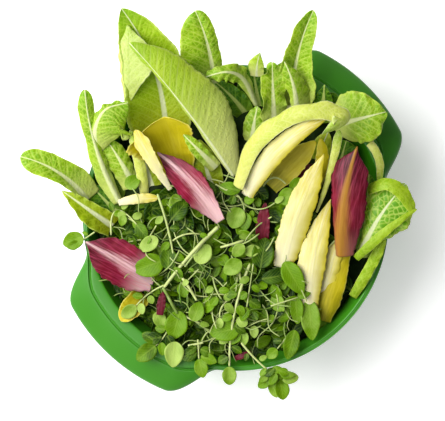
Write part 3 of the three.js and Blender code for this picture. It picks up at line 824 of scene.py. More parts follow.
@dataclass(frozen=True)
class Blade:
    """One leaf: where its midrib runs, how wide it is, and how it bends, ruffles and thickens.

    The midrib runs through the spine's points, in millimetres from the middle of the bowl's
    foot. Where the spine is only a base and a tip, bow is how far its middle lies to the left of
    the straight line and lift is how far above. The left and right half widths are spaced evenly
    from base to tip. The two halves rise from the midrib by vee degrees, bend up by cup degrees
    towards the edge and turn up by lip degrees at the edge itself; open_tip is the share of that
    bending left at the tip.
    """

    name: str
    kind: LeafKind
    spine: tuple[Point, ...]
    left: tuple[float, ...]
    right: tuple[float, ...]
    bow: float = 0.0
    lift: float = 0.0
    cup: tuple[float, float] = (0.0, 0.0)
    vee: tuple[float, float] = (0.0, 0.0)
    lip: tuple[float, float] = (0.0, 0.0)
    open_tip: float = 0.7
    blunt: float = 0.18
    ruffle: float = 1.2
    waves: float = 5.0
    quilt: float = 0.8
    pitch: float = 9.0
    nicks: float = 0.4
    thick: float = 0.9
    rib_wide: float = 3.0
    rib_thick: float = 1.6
    tone: float = 0.5
    node: str = ""
    along: int = 72
    across: int = 30

    def midrib(self, t: np.ndarray) -> np.ndarray:
        """Points along the midrib at positions t from 0 to 1."""
        if len(self.spine) == 2:
            return bowed_line(*self.spine, self.bow, self.lift, t)
        return smooth_through(self.spine, t)

    @staticmethod
    def frames(points: np.ndarray) -> tuple[np.ndarray, np.ndarray]:
        """Unit vectors across the blade and out of its face at each section.

        Args:
            points: The middle of each section.

        Returns:
            The vectors to the right, and the vectors out of the face.
        """
        ways = np.gradient(points, axis=0)
        ways /= np.linalg.norm(ways, axis=1, keepdims=True)
        across = np.cross(points[-1] - points[0], (0.0, 0.0, 1.0))
        rights = np.empty_like(points)
        for k, way in enumerate(ways):
            across = across - np.dot(across, way) * way
            across /= np.linalg.norm(across)
            rights[k] = across
        return rights, np.cross(rights, ways)

    def profile(self, v: np.ndarray, t: np.ndarray) -> tuple[np.ndarray, np.ndarray]:
        """The cross-sections for a half width of 1.

        Args:
            v: Positions across, from -1 to 1.
            t: Positions along, from 0 to 1.

        Returns:
            How far each point lies to the side and how far above the midrib.
        """
        fine = np.linspace(0, 1, 61)
        step = fine[1]
        sideways, lift = np.empty((len(t), len(v))), np.empty((len(t), len(v)))
        opening = (1 + (self.open_tip - 1) * t)[:, None]
        for sign, end in ((-1, 0), (1, 1)):
            rolled = np.clip((fine - 0.6) / 0.4, 0, 1) ** 1.5
            angle = np.radians(self.vee[end] * smooth_step(fine, -0.15, 0.15) + self.cup[end] * fine
                               + self.lip[end] * rolled)
            angle = angle[None, :] * opening
            out = (np.cumsum(np.cos(angle), axis=1) - np.cos(angle)) * step
            up = (np.cumsum(np.sin(angle), axis=1) - np.sin(angle)) * step
            mask = v * sign >= 0
            place = np.abs(v[mask]) * 60
            low = np.minimum(place.astype(int), 59)
            share = place - low
            sideways[:, mask] = sign * (out[:, low] * (1 - share) + out[:, low + 1] * share)
            lift[:, mask] = up[:, low] * (1 - share) + up[:, low + 1] * share
        return sideways, lift

    def mesh(self) -> MeshData:
        """Builds the leaf as a closed thin shell.

        Returns:
            The mesh in metres with its maps and tone.
        """
        seed = sum(ord(letter) * (k + 1) for k, letter in enumerate(self.name)) % 997
        t = np.linspace(0, 1, self.along + 1)
        v = np.linspace(-1, 1, self.across + 1)
        points = self.midrib(t)
        rights, faces = self.frames(points)
        length = np.concatenate([[0], np.cumsum(np.linalg.norm(np.diff(points, axis=0), axis=1))])
        tip = np.clip((t - (1 - self.blunt)) / self.blunt, 0, 1)
        tip = np.sqrt(np.clip(1 - tip ** 2, 0.004, 1))
        left, right = (np.maximum(smooth_through(half, t), 0.8) * tip for half in (self.left, self.right))
        nick = 1 + self.nicks * 0.06 * lattice_noise(length / 2.3, np.zeros_like(t), seed)
        width = np.where(v[None, :] < 0, (left * nick)[:, None], (right * nick)[:, None])
        sideways, lift = self.profile(v, t)
        s_mm = v[None, :] * width
        l_mm = np.repeat(length[:, None], len(v), axis=1)
        aside = rights[:, None, :] * (sideways * width)[:, :, None]
        surface = points[:, None, :] + aside + faces[:, None, :] * (lift * width)[:, :, None]
        side = np.abs(v)[None, :] * np.ones_like(s_mm)
        flow = self.waves * t[:, None] + np.where(v[None, :] < 0, 0.0, 0.37)
        flow = flow + 0.35 * lattice_noise(t[:, None] * 4 + 0 * s_mm, v[None, :] + 0 * s_mm, seed + 3)
        swell = smooth_step(t, 0.05, 0.35)[:, None]
        lift_mm = self.ruffle * swell * side ** 2.4 * np.sin(2 * np.pi * flow)
        lift_mm += self.quilt * self.puffs(s_mm, l_mm, side, seed) * swell
        lift_mm += 0.8 * lattice_noise(l_mm / 22, s_mm / 15, seed + 5)
        normal = self.normals(surface)
        surface = surface + normal * lift_mm[:, :, None]
        normal = self.normals(surface)
        body = self.thick * (0.35 + 0.65 * (1 - side ** 3)) * (0.6 + 0.4 * (1 - t[:, None]))
        rib = np.exp(-(s_mm / (self.rib_wide * (1 - 0.8 * t[:, None]) + 0.3)) ** 2)
        under = body / 2 + self.rib_thick * rib * (1 - 0.85 * t[:, None])
        upper, lower = surface + normal * (body / 2)[:, :, None], surface - normal * under[:, :, None]
        blade = np.stack([0.5 + 0.5 * v[None, :] + 0 * s_mm, t[:, None] + 0 * s_mm], axis=2)
        span = np.stack([s_mm / 100, l_mm / 100 + seed * 0.013], axis=2)
        count = (self.along + 1) * (self.across + 1)
        vertices = np.vstack([upper.reshape(-1, 3), lower.reshape(-1, 3)]) * MM
        return MeshData(vertices, self.shell_faces(count), np.tile(blade.reshape(-1, 2), (2, 1)),
                        np.tile(span.reshape(-1, 2), (2, 1)), np.full(2 * count, self.tone),
                        np.repeat([0.0, 1.0], count))

    def puffs(self, s_mm: np.ndarray, l_mm: np.ndarray, side: np.ndarray, seed: float) -> np.ndarray:
        """Where the blade swells between its side veins, from 0 to 1."""
        flow = (l_mm - 0.8 * np.abs(s_mm) + 1.5 * lattice_noise(l_mm / 9, s_mm / 9, seed)) / self.pitch
        between = np.abs(np.sin(np.pi * flow)) ** 0.7
        small = 0.75 + 0.25 * lattice_noise(l_mm / 6.5, s_mm / 5.0, seed + 11)
        return between * small * smooth_step(np.abs(s_mm), 1.0, 4.0) * (1 - 0.5 * side ** 4)

    @staticmethod
    def normals(surface: np.ndarray) -> np.ndarray:
        """Unit vectors out of the face at each point of a grid."""
        out = np.cross(np.gradient(surface, axis=1), np.gradient(surface, axis=0))
        return out / np.maximum(np.linalg.norm(out, axis=2, keepdims=True), 1e-9)

    def shell_faces(self, count: int) -> np.ndarray:
        """Quads of the upper side, the lower side and the rim between them."""
        row = self.across + 1
        grid = np.arange(count).reshape(self.along + 1, row)
        a, b, c, d = grid[:-1, :-1], grid[:-1, 1:], grid[1:, 1:], grid[1:, :-1]
        upper = np.stack([a, b, c, d], axis=2).reshape(-1, 4)
        lower = np.stack([a, d, c, b], axis=2).reshape(-1, 4) + count
        ring = np.concatenate([grid[0, :], grid[1:, -1], grid[-1, -2::-1], grid[-2:0:-1, 0]])
        after = np.roll(ring, -1)
        rim = np.stack([ring, ring + count, after + count, after], axis=1)
        return np.vstack([upper, lower, rim])


class LeafBed:
    """The large leaves, each in the place of its own CAD node."""

    def __init__(self, wardrobe: Wardrobe) -> None:
        """Keeps the finishes."""
        self.wardrobe = wardrobe

    def build(self, blades: Sequence[Blade]) -> None:
        """Makes every leaf and settles it in place of its node."""
        for blade in blades:
            piece = blade.mesh().to_object(f"{blade.name}_leaf", self.wardrobe.leaf[blade.kind])
            node = blade.node or blade.name
            low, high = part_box(node)
            middle = (low + high) / 2
            corners = [Vector(corner) for corner in piece.bound_box]
            away = (sum(corners, Vector()) / 8 - middle).length / MM
            settle(piece, blade.kind.slot, node)
            LOG.info("%s lies %.1f mm from its node's middle", blade.name, away)

    def shade(self, blades: Sequence[Blade]) -> None:
        """Makes the leaves deeper in the heap, one joined piece for each kind."""
        for kind in LeafKind:
            meshes = [blade.mesh() for blade in blades if blade.kind is kind]
            if meshes:
                piece = MeshData.joined(meshes).to_object(f"shade_{kind.value}", self.wardrobe.leaf[kind])
                settle(piece, kind.slot, "salad_heap")


ENDIVE = dict(ruffle=0.4, quilt=0.0, nicks=0.9, thick=1.6, rib_wide=6.0, rib_thick=1.0)
STALK = dict(cup=(-28, -28), ruffle=0.3, quilt=0.0)
DEEP_LEAF = dict(ruffle=0.8, quilt=0.4)

BLADES = (
    Blade("lettuce_arching", LeafKind.ARCH,
          ((1, 28, 124), (14, 64, 146), (42, 89, 158), (76, 98, 161), (96, 90, 159), (78, 76, 154)),
          (6, 9, 8, 8, 9, 3), (6, 9, 9, 9, 10, 3),
          cup=(-30, -25), vee=(-5, 5), lip=(-25, 0), ruffle=1.2, quilt=0.2, open_tip=1.0, along=110),
    Blade("endive_yellow_long", LeafKind.CREAM_GOLD, ((10, 20, 116), (82, 90, 155)),
          (6, 9, 10, 8, 3), (6, 9, 9, 7, 3), bow=10, lift=14, cup=(-8, -28), **ENDIVE),
    Blade("romaine_back_main", LeafKind.PALE, ((-2, 38, 112), (-96, 158, 155)),
          (5, 6, 4, 3, 4, 6), (9, 29, 38, 33, 24, 9), bow=-3, lift=10, vee=(-60, -4), cup=(-25, -22),
          lip=(0, -20), ruffle=0.5, quilt=0.5, pitch=7.0, rib_wide=1.2, rib_thick=1.0, along=110, across=40),
    Blade("endive_cream_fold", LeafKind.CREAM, ((-60, 26, 121), (-92, 80, 134)),
          (2, 4, 6, 7, 4), (2, 4, 6, 7, 5), bow=1, lift=6, cup=(-25, 15), **{**ENDIVE, "nicks": 2.2}),
    Blade("red_endive_centre", LeafKind.RED, ((-14, -3, 128), (-72, 60, 119)),
          (4, 13, 16, 11, 2), (4, 9, 13, 9, 2), bow=-4, lift=5, cup=(30, 20), **ENDIVE),
    Blade("lettuce_green_edge", LeafKind.BRIGHT, ((-18, 46, 112), (-48, 76, 128)),
          (6, 7, 6, 2), (6, 6, 6, 3), lift=4, cup=(-20, -10), ruffle=0.8, quilt=0.3, rib_wide=1.5,
          rib_thick=0.5),
    Blade("endive_yellow_hood", LeafKind.GOLD, ((-50, 38, 100), (-66, 92, 130)),
          (12, 20, 32, 44, 42), (12, 17, 20, 23, 23), bow=-1, lift=-3, vee=(4, 8), cup=(34, 45),
          open_tip=0.75, blunt=0.3, **ENDIVE),
    Blade("red_endive_right", LeafKind.RED_STRIPED, ((96, -36, 116), (110, 65, 143)),
          (6, 8, 12, 16, 16, 2), (13, 18, 22, 20, 17, 2), bow=5, lift=7, vee=(-15, -2), cup=(-55, -30),
          **ENDIVE),
    Blade("endive_pale_long", LeafKind.CREAM_GOLD, ((43, -46, 112), (80, 58, 140)),
          (9, 12, 12, 9, 2), (9, 14, 13, 10, 3), bow=4, lift=4, cup=(-4, -22), **{**ENDIVE, "nicks": 1.6}),
    Blade("lettuce_rib_right", LeafKind.ARCH, ((74, 5, 120), (94, 80, 136)),
          (1, 2, 3, 4, 5), (1, 2, 3, 4, 5), bow=-2, lift=4, **STALK),
    Blade("endive_pale_right", LeafKind.CREAM_GOLD, ((67, -81, 106), (87, 17, 122)),
          (9, 12, 13, 8, 2), (9, 12, 12, 8, 2), bow=5, lift=5, cup=(-4, -14), **ENDIVE),
    Blade("red_endive_left", LeafKind.RED, ((-75, -57, 106), (-138, -22, 119)),
          (13, 20, 22, 17, 2), (13, 18, 20, 15, 2), lift=5, vee=(6, 6), cup=(18, 24), **ENDIVE),
    Blade("endive_ochre", LeafKind.GOLD, ((33, 28, 104), (73, 70, 125)),
          (7, 10, 11, 10, 6), (7, 9, 10, 8, 5), lift=3, cup=(20, 10), blunt=0.3, **ENDIVE),
    Blade("red_endive_small", LeafKind.MAROON, ((46, 31, 98), (74, 49, 109)),
          (4, 7, 6, 2), (4, 6, 6, 2), lift=2, cup=(15, 15), **ENDIVE),
    Blade("endive_olive_right", LeafKind.GOLD, ((80, -95, 96), (102, -20, 110)),
          (8, 10, 10, 8, 5), (8, 11, 10, 8, 5), bow=-1, lift=4, cup=(-20, -20), **ENDIVE),
    Blade("lettuce_fold_right", LeafKind.BRIGHT, ((56, 94, 112), (44, 142, 139)),
          (6, 6, 8, 9, 3), (13, 16, 13, 8, 3), bow=-3, lift=5, vee=(-20, -5), cup=(-35, -35), ruffle=0.8,
          quilt=0.35, blunt=0.3),
    Blade("lettuce_ruffle_middle", LeafKind.BRIGHT, ((35, 85, 102), (33, 142, 130)),
          (11, 13, 12, 11, 7), (11, 12, 12, 12, 8), lift=4, vee=(15, -5), cup=(30, -10), ruffle=3.2,
          waves=2.6, quilt=0.6, blunt=0.3),
    Blade("romaine_back_right", LeafKind.BRIGHT, ((52, 105, 98), (70, 188, 150)),
          (14, 17, 16, 13, 11, 8), (18, 25, 19, 13, 11, 8), bow=5, lift=4, vee=(32, 22), cup=(10, 10),
          ruffle=0.7, quilt=0.9, pitch=5.0, rib_wide=3.0),
    Blade(
        "lettuce_ruffle_top", LeafKind.BRIGHT,
        ((20, 104, 100), (7, 127, 122), (-8, 133, 134), (-27, 129, 132)), (3, 5, 8, 10, 8, 5),
        (3, 5, 10, 8, 6, 4), vee=(-12, -10), cup=(-30, -20), ruffle=1.6, quilt=0.4, blunt=0.1, rib_wide=1.5,
        rib_thick=0.6
    ),
    Blade("lettuce_bright_middle", LeafKind.BRIGHT, ((15, 67, 100), (20, 103, 110)),
          (7, 10, 9, 4), (8, 9, 8, 4), bow=1, lift=3, cup=(-30, -30), ruffle=0.8, quilt=0.6),
    Blade("lettuce_dark_middle", LeafKind.DEEP, ((13, 91, 92), (-20, 126, 108)),
          (7, 11, 11, 4), (7, 11, 9, 4), bow=-2, lift=4, cup=(15, 15), ruffle=0.8, quilt=0.3),
    Blade("lettuce_peak", LeafKind.PALE, ((19, 130, 112), (22, 151, 127)),
          (6, 8, 1), (7, 6, 1), bow=1, lift=2, cup=(-20, -20), ruffle=0.4, quilt=0.1),
    Blade("romaine_top", LeafKind.BRIGHT, ((-20, 116, 100), (-37, 188, 143)),
          (24, 27, 27, 23, 14), (8, 10, 10, 10, 8), bow=-4, lift=6, vee=(22, 8), cup=(-25, -35), ruffle=0.7,
          quilt=1.3, pitch=4.6, rib_wide=4.0, blunt=0.14),
    Blade("romaine_back_left", LeafKind.OLD, ((-65, 72, 90), (-104, 190, 146)),
          (33, 38, 36, 30, 21, 10), (20, 27, 28, 27, 18, 10), bow=-11, lift=1, vee=(8, 10), cup=(30, 20),
          ruffle=0.7, quilt=0.9, open_tip=0.6, across=44, along=90, pitch=6.0),
    Blade(
        "lettuce_curl_left", LeafKind.BRIGHT,
        ((-129, 62, 112), (-129, 82, 126), (-119, 99, 133), (-99, 105, 130)), (4, 5, 6, 5, 3),
        (7, 24, 35, 33, 18), vee=(-20, -8), cup=(-30, -28), ruffle=1.2, quilt=1.4, pitch=5.0, rib_wide=4.5,
        rib_thick=1.5, open_tip=0.9
    ),
    Blade("endive_strip_left", LeafKind.ARCH, ((-84, 20, 104), (-97, 80, 123)),
          (4, 5, 5, 3), (4, 5, 5, 3), bow=-2, lift=2, **STALK),
    Blade("lettuce_left_broad", LeafKind.BRIGHT, ((-94, 29, 98), (-119, 72, 113)),
          (11, 12, 13, 6), (9, 9, 10, 6), bow=-1, lift=3, vee=(-5, -10), cup=(-25, -30), ruffle=0.8,
          quilt=0.4),
    Blade("romaine_left_tall", LeafKind.BRIGHT, ((-107, 14, 98), (-138, 117, 132)),
          (7, 11, 10, 8, 9, 8), (4, 6, 6, 5, 8, 8), bow=6, lift=3, vee=(-15, -35), cup=(-20, -10),
          ruffle=0.7, quilt=0.3, rib_wide=4.0),
    Blade("romaine_left", LeafKind.BRIGHT, ((-137, 16, 100), (-197, 56, 128)),
          (5, 7, 10, 12, 10), (15, 17, 14, 12, 9), bow=-7, lift=7, vee=(15, 10), cup=(12, -12), ruffle=0.7,
          quilt=0.8, pitch=4.8, rib_wide=3.6, blunt=0.16),
    Blade("lettuce_left_low", LeafKind.OLIVE, ((-114, -8, 96), (-160, 25, 111)),
          (11, 14, 13, 7, 2), (11, 10, 8, 6, 2), lift=4, vee=(22, 10), cup=(20, 10), ruffle=0.9, quilt=0.2),
    Blade("lettuce_stub_right", LeafKind.DEEP, ((80, 98, 104), (81, 122, 121)),
          (8, 9, 6, 1), (8, 9, 6, 1), lift=2, cup=(-15, -15), **DEEP_LEAF),
    Blade("lettuce_round_right", LeafKind.BRIGHT, ((91, 85, 106), (137, 97, 126)),
          (15, 26, 26, 19, 8), (11, 20, 23, 20, 11), lift=8, vee=(8, -2), cup=(-25, -25), ruffle=1.2,
          quilt=1.0, pitch=7.0, blunt=0.3, rib_wide=4.5),
    Blade("lettuce_curl_right", LeafKind.NET, ((114, -35, 104), (155, 31, 124)),
          (4, 6, 11, 19, 15, 8), (5, 10, 20, 27, 22, 12), bow=4, lift=9, vee=(-8, 10), cup=(-30, -28),
          ruffle=1.6, quilt=1.0, pitch=7.0, blunt=0.3, rib_wide=3.5),
    Blade("lettuce_stem_right", LeafKind.ARCH, ((123, 69, 114), (131, 33, 112)),
          (4, 4, 3), (4, 4, 3), bow=5, lift=4, **STALK),
    Blade("lettuce_low_right", LeafKind.SMOOTH, ((108, -73, 98), (137, -18, 112)),
          (4, 5, 5, 5, 3), (4, 5, 5, 5, 3), bow=-1, lift=4, cup=(-15, -15), ruffle=0.8, quilt=0.3,
          rib_wide=1.0, rib_thick=0.4),
    Blade("endive_band_left", LeafKind.CREAM, ((-108, 14, 110), (-72, 18, 112)),
          (3, 5, 5, 4), (3, 4, 4, 3), bow=1, lift=3, cup=(-20, -20), **ENDIVE),
    Blade("endive_end_low_left", LeafKind.GOLD, ((-86, -70, 98), (-106, -95, 103)),
          (9, 11, 9, 5), (9, 10, 9, 5), lift=3, vee=(5, 5), cup=(25, 15), **ENDIVE),
    # Wears the pale flank finish: painted light on the side turned to the lamp.
    Blade("romaine_back_flank", LeafKind.FLANK, ((-100, 103, 116), (-98, 175, 140)),
          (2, 5, 8, 9, 4), (2, 12, 24, 20, 4), lift=7, vee=(-12, 10), cup=(-35, 5), node="romaine_back_left",
          ruffle=0.8, quilt=0.2, blunt=0.3),
    Blade(
        "lettuce_curl_right_top", LeafKind.SMOOTH,
        ((121, 26, 122), (138, 31, 132), (153, 22, 132), (163, 5, 127)), (5, 6, 6, 4), (5, 6, 7, 5),
        cup=(-12, -18), node="lettuce_curl_right", ruffle=0.5, quilt=0.1
    ),
    Blade("lettuce_curl_right_low", LeafKind.SMOOTH, ((110, -37, 112), (165, 8, 127)),
          (3, 4, 4, 3, 2), (4, 5, 4, 3, 2), bow=2, lift=9, cup=(-12, -18), node="lettuce_curl_right",
          ruffle=0.5, quilt=0.1),
)

SHADE_BLADES = (
    Blade("shade_under_main", LeafKind.OLIVE, ((-18, 18, 98), (-34, 72, 108)), (7, 12, 11, 4), (7, 13, 12, 4),
          bow=1, lift=4, **DEEP_LEAF),
    Blade(
        "shade_behind_ruffles", LeafKind.DEEP, ((24, 90, 88), (15, 142, 108)), (13, 17, 17, 9),
        (13, 17, 17, 9), **DEEP_LEAF
    ),
    Blade(
        "shade_behind_folds", LeafKind.BRIGHT, ((52, 90, 88), (42, 143, 112)), (15, 18, 16, 7),
        (15, 18, 16, 7), **DEEP_LEAF
    ),
    Blade("shade_by_back_rim", LeafKind.DEEP, ((89, 89, 92), (85, 116, 108)), (15, 13, 7), (15, 13, 7),
          **DEEP_LEAF),
    Blade("shade_by_red", LeafKind.DEEP, ((93, 37, 90), (102, 71, 102)), (13, 15, 11), (13, 15, 11),
          **DEEP_LEAF),
    Blade("shade_by_curl", LeafKind.DEEP, ((119, -37, 88), (123, 40, 104)), (7, 10, 10, 6), (7, 10, 10, 6),
          **DEEP_LEAF),
    Blade("shade_left", LeafKind.DEEP, ((-96, 20, 88), (-121, 72, 98)), (15, 16, 12, 5), (15, 16, 12, 5),
          **DEEP_LEAF),
    Blade("shade_by_fold", LeafKind.OLIVE, ((-74, 17, 100), (-89, 70, 110)), (11, 9, 7, 4), (9, 9, 7, 4),
          **DEEP_LEAF),
    Blade("shade_low_left", LeafKind.DEEP, ((-106, 0, 90), (-132, 28, 99)), (13, 14, 7), (13, 14, 7),
          **DEEP_LEAF),
    Blade("shade_under_arch", LeafKind.OLIVE, ((4, 15, 92), (19, 79, 100)), (12, 13, 11, 5), (12, 13, 11, 5),
          **DEEP_LEAF),
    Blade("shade_mid_right", LeafKind.OLIVE, ((60, 20, 92), (85, 79, 104)), (13, 13, 11, 6), (13, 13, 11, 6),
          **DEEP_LEAF),
    Blade("olive_strip_right", LeafKind.GOLD, ((73, 29, 114), (77, 73, 126)), (5, 6, 6, 3), (5, 6, 6, 3),
          bow=-4, lift=3, cup=(-15, -25), **ENDIVE),
    Blade(
        "cream_strip_right", LeafKind.CREAM_GOLD, ((78, -78, 100), (94, -21, 112)), (7, 8, 8, 6),
        (7, 8, 8, 6), lift=3, cup=(-10, -20), **ENDIVE
    ),
    Blade("red_sliver_middle", LeafKind.MAROON, ((24, -25, 108), (27, 14, 114)), (5, 7, 6, 2), (5, 6, 5, 2),
          lift=4, cup=(15, 15), **ENDIVE),
    Blade("red_sliver_left", LeafKind.MAROON, ((-70, -89, 112), (-67, -68, 114)), (3, 4, 2), (3, 4, 2),
          lift=2, cup=(15, 15), **ENDIVE),
    Blade("red_sliver_front", LeafKind.MAROON, ((0, -130, 98), (14, -124, 100)), (2, 3, 2), (2, 3, 2),
          lift=2, cup=(15, 15), **ENDIVE),
)


# ---------------------------------------------------------------- the heap's core and its small leaves


@dataclass
class Core:
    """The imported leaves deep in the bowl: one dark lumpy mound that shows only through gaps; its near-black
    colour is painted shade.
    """

    bowl: Bowl
    sink: float = 15.0
    edge_height: float = 84.0
    clearance: float = 2.0
    rings: int = 60
    steps: int = 160

    def edge(self) -> float:
        """Radius where the mound meets the wall, in millimetres."""
        return self.bowl.outside_radius(self.edge_height) - self.bowl.wall - self.clearance

    def top(self, share: np.ndarray, angle: np.ndarray) -> np.ndarray:
        """Height of the mound at a share of its radius and an angle."""
        _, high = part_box("salad_heap")
        crest = high.z / MM - self.sink
        x, y = share * np.cos(angle), share * np.sin(angle)
        lumps = 4.0 * lattice_noise(6 * x, 6 * y, 3) + 2.5 * lattice_noise(15 * x, 15 * y, 5)
        slope = smooth_step(share, 0.62, 1.0)
        return (crest - 7 * share ** 2 + lumps) * (1 - slope) + (self.edge_height + 0.5 * lumps) * slope

    def build(self, material: bpy.types.Material) -> bpy.types.Object:
        """Makes the mound in its material and stands it in for the whole heap."""
        angle = np.radians(np.arange(self.steps) * 360 / self.steps)
        wall_heights = np.linspace(self.bowl.wall + 2, self.edge_height, 14)[:-1]
        inset = self.bowl.wall + self.clearance
        wall = np.array([self.bowl.outside_radius(z - 2) - inset for z in wall_heights])
        edge = self.edge()
        shares = np.linspace(1, 0, self.rings + 1)[:-1]
        radii = np.concatenate([wall, shares * edge])
        heights = np.vstack([np.repeat(wall_heights[:, None], self.steps, axis=1),
                             self.top(shares[:, None] + 0 * angle, angle[None, :] + 0 * shares[:, None])])
        grid = np.stack([radii[:, None] * np.cos(angle), radii[:, None] * np.sin(angle), heights], axis=2)
        vertices = grid.reshape(-1, 3)
        foot, crown = len(vertices), len(vertices) + 1
        peak = float(self.top(np.array([0.0]), np.array([0.0]))[0])
        vertices = np.vstack([vertices, [[0, 0, wall_heights[0]], [0, 0, peak]]]) * MM
        rows = len(radii)
        index = np.arange(rows * self.steps).reshape(rows, self.steps)
        after = np.roll(index, -1, axis=1)
        quads = np.stack([index[:-1], after[:-1], after[1:], index[1:]], axis=2).reshape(-1, 4)
        fans = [(foot, int(after[0, k]), int(index[0, k])) for k in range(self.steps)]
        fans += [(crown, int(index[-1, k]), int(after[-1, k])) for k in range(self.steps)]
        mesh = bpy.data.meshes.new("heap_core")
        mesh.from_pydata(vertices.tolist(), [], quads.tolist() + fans)
        mesh.polygons.foreach_set("use_smooth", [True] * len(mesh.polygons))
        mesh.materials.append(material)
        mesh.update()
        piece = bpy.data.objects.new("heap_core", mesh)
        bpy.context.scene.collection.objects.link(piece)
        return settle(piece, "cress_leaf", "salad_heap")


# ---------------------------------------------------------------- watercress


@dataclass(frozen=True)
class Leaflet:
    """One watercress leaf: its middle, its size, which way it points and leans, and how light it is.

    Places and sizes are millimetres from the middle of the bowl's foot, and angles are degrees:
    heading turns the tip from +X, pitch lifts it and roll leans the leaf to its side.
    """

    x: float
    y: float
    z: float
    length: float
    width: float
    heading: float
    tone: float
    pitch: float = 0.0
    roll: float = 0.0
    cup: float = 26.0

    def axes(self) -> np.ndarray:
        """Rows: the way to the tip, the way to the left and the way out of the face."""
        heading, pitch, roll = (math.radians(angle) for angle in (self.heading, self.pitch, self.roll))
        level = math.cos(pitch)
        way = np.array([math.cos(heading) * level, math.sin(heading) * level, math.sin(pitch)])
        left = np.cross((0, 0, 1), way)
        left /= np.linalg.norm(left)
        up = np.cross(way, left)
        lean, stand = math.sin(roll), math.cos(roll)
        return np.array([way, left * stand + up * lean, up * stand - left * lean])

    def base(self) -> np.ndarray:
        """Where the leaf meets its stalk, in millimetres."""
        return np.array([self.x, self.y, self.z]) - 0.5 * self.length * self.axes()[0]

    def mesh(self, along: int = 16, across: int = 10) -> MeshData:
        """The leaf as a closed thin shell.

        Args:
            along: Steps from base to tip.
            across: Steps from side to side.

        Returns:
            The mesh in metres.
        """
        seed = abs(self.x) * 0.37 + abs(self.y) * 0.91 + self.heading * 0.11
        t = (1 - np.cos(np.pi * np.linspace(0, 1, along + 1))) / 2
        v = np.linspace(-1, 1, across + 1)
        outline = np.clip(np.sin(np.pi * t ** 0.86), 0, 1) ** 0.56
        outline = np.maximum(outline, 0.05) * (1 + 0.07 * lattice_noise(t * 3.3, t * 0, seed))
        half = 0.5 * self.width * outline
        ahead = (t - 0.5)[:, None] * self.length + 0 * v
        side = half[:, None] * v[None, :]
        bend = math.radians(self.cup)
        lift = 0.5 * self.width * math.tan(bend / 2) * np.abs(side / (0.5 * self.width)) ** 1.7
        lift -= 0.10 * self.length * np.clip(t - 0.35, 0, 1)[:, None] ** 2 / 0.42
        crinkle = lattice_noise(ahead / 5 + seed, side / 5, seed + 2)
        lift += 0.035 * self.width * crinkle * (0.4 + np.abs(v)[None, :])
        surface = np.stack([ahead, side, lift], axis=2) @ self.axes() + (self.x, self.y, self.z)
        out = self.axes()[2]
        thick = 0.42 * (1 - 0.6 * np.abs(v)[None, :] ** 3) * (0.55 + 0.45 * outline[:, None])
        upper = surface + 0.5 * thick[:, :, None] * out
        lower = surface - 0.5 * thick[:, :, None] * out
        blade = np.stack([0.5 - 0.5 * v[None, :] + 0 * ahead, t[:, None] + 0 * ahead], axis=2)
        span = np.stack([-side / 100, (ahead + 0.5 * self.length) / 100 + 0.031 * seed], axis=2)
        count = (along + 1) * (across + 1)
        grid = Blade("", LeafKind.BRIGHT, (), (), (), along=along, across=across)
        return MeshData(np.vstack([upper.reshape(-1, 3), lower.reshape(-1, 3)]) * MM,
                        grid.shell_faces(count)[:, ::-1], np.tile(blade.reshape(-1, 2), (2, 1)),
                        np.tile(span.reshape(-1, 2), (2, 1)), np.full(2 * count, self.tone))


@dataclass(frozen=True)
class Stem:
    """A round stem along a line of points, tapering from its start to its end."""

    start_radius: float
    end_radius: float
    tone: float
    points: Sequence[Point]

    def mesh(self, sides: int = 8, steps_each: int = 5) -> MeshData:
        """The stem as a closed tube.

        Args:
            sides: Flats around it.
            steps_each: Steps between two points.

        Returns:
            The mesh in metres.
        """
        rows = np.array(self.points, dtype=float)
        last = len(rows) - 1
        t = np.linspace(0, last, last * steps_each + 1)
        line = smooth_through(rows, t / last)
        ways = np.gradient(line, axis=0)
        ways /= np.linalg.norm(ways, axis=1, keepdims=True)
        side = np.cross(ways, (0.13, 0.21, 1.0))
        side /= np.linalg.norm(side, axis=1, keepdims=True)
        other = np.cross(ways, side)
        share = t / last
        wobble = 1 + 0.10 * lattice_noise(t * 1.7, t * 0 + rows[0, 0], 7)
        radius = (self.start_radius + (self.end_radius - self.start_radius) * share) * wobble
        ends = np.clip(np.minimum(share, 1 - share) * last * 6, 0, 1)
        radius = radius * (0.55 + 0.45 * np.sqrt(ends))
        turns = np.arange(sides) * 2 * np.pi / sides
        ring = (side[:, None, :] * np.cos(turns)[None, :, None]
                + other[:, None, :] * np.sin(turns)[None, :, None])
        tube = (line[:, None, :] + ring * radius[:, None, None]).reshape(-1, 3)
        start, end = len(tube), len(tube) + 1
        vertices = np.vstack([tube, line[:1], line[-1:]]) * MM
        index = np.arange(len(t) * sides).reshape(len(t), sides)
        after = np.roll(index, -1, axis=1)
        quads = np.stack([index[:-1], after[:-1], after[1:], index[1:]], axis=2).reshape(-1, 4)
        half = np.arange(0, sides, 2)
        pairs = np.roll(index, -2, axis=1)
        base = np.stack([np.full(len(half), start), pairs[0, half], after[0, half], index[0, half]], axis=1)
        tip = np.stack([np.full(len(half), end), index[-1, half], after[-1, half], pairs[-1, half]], axis=1)
        flat = np.zeros((len(vertices), 2))
        tones = np.full(len(vertices), self.tone)
        return MeshData(vertices, np.vstack([quads, base, tip]), flat, flat, tones)


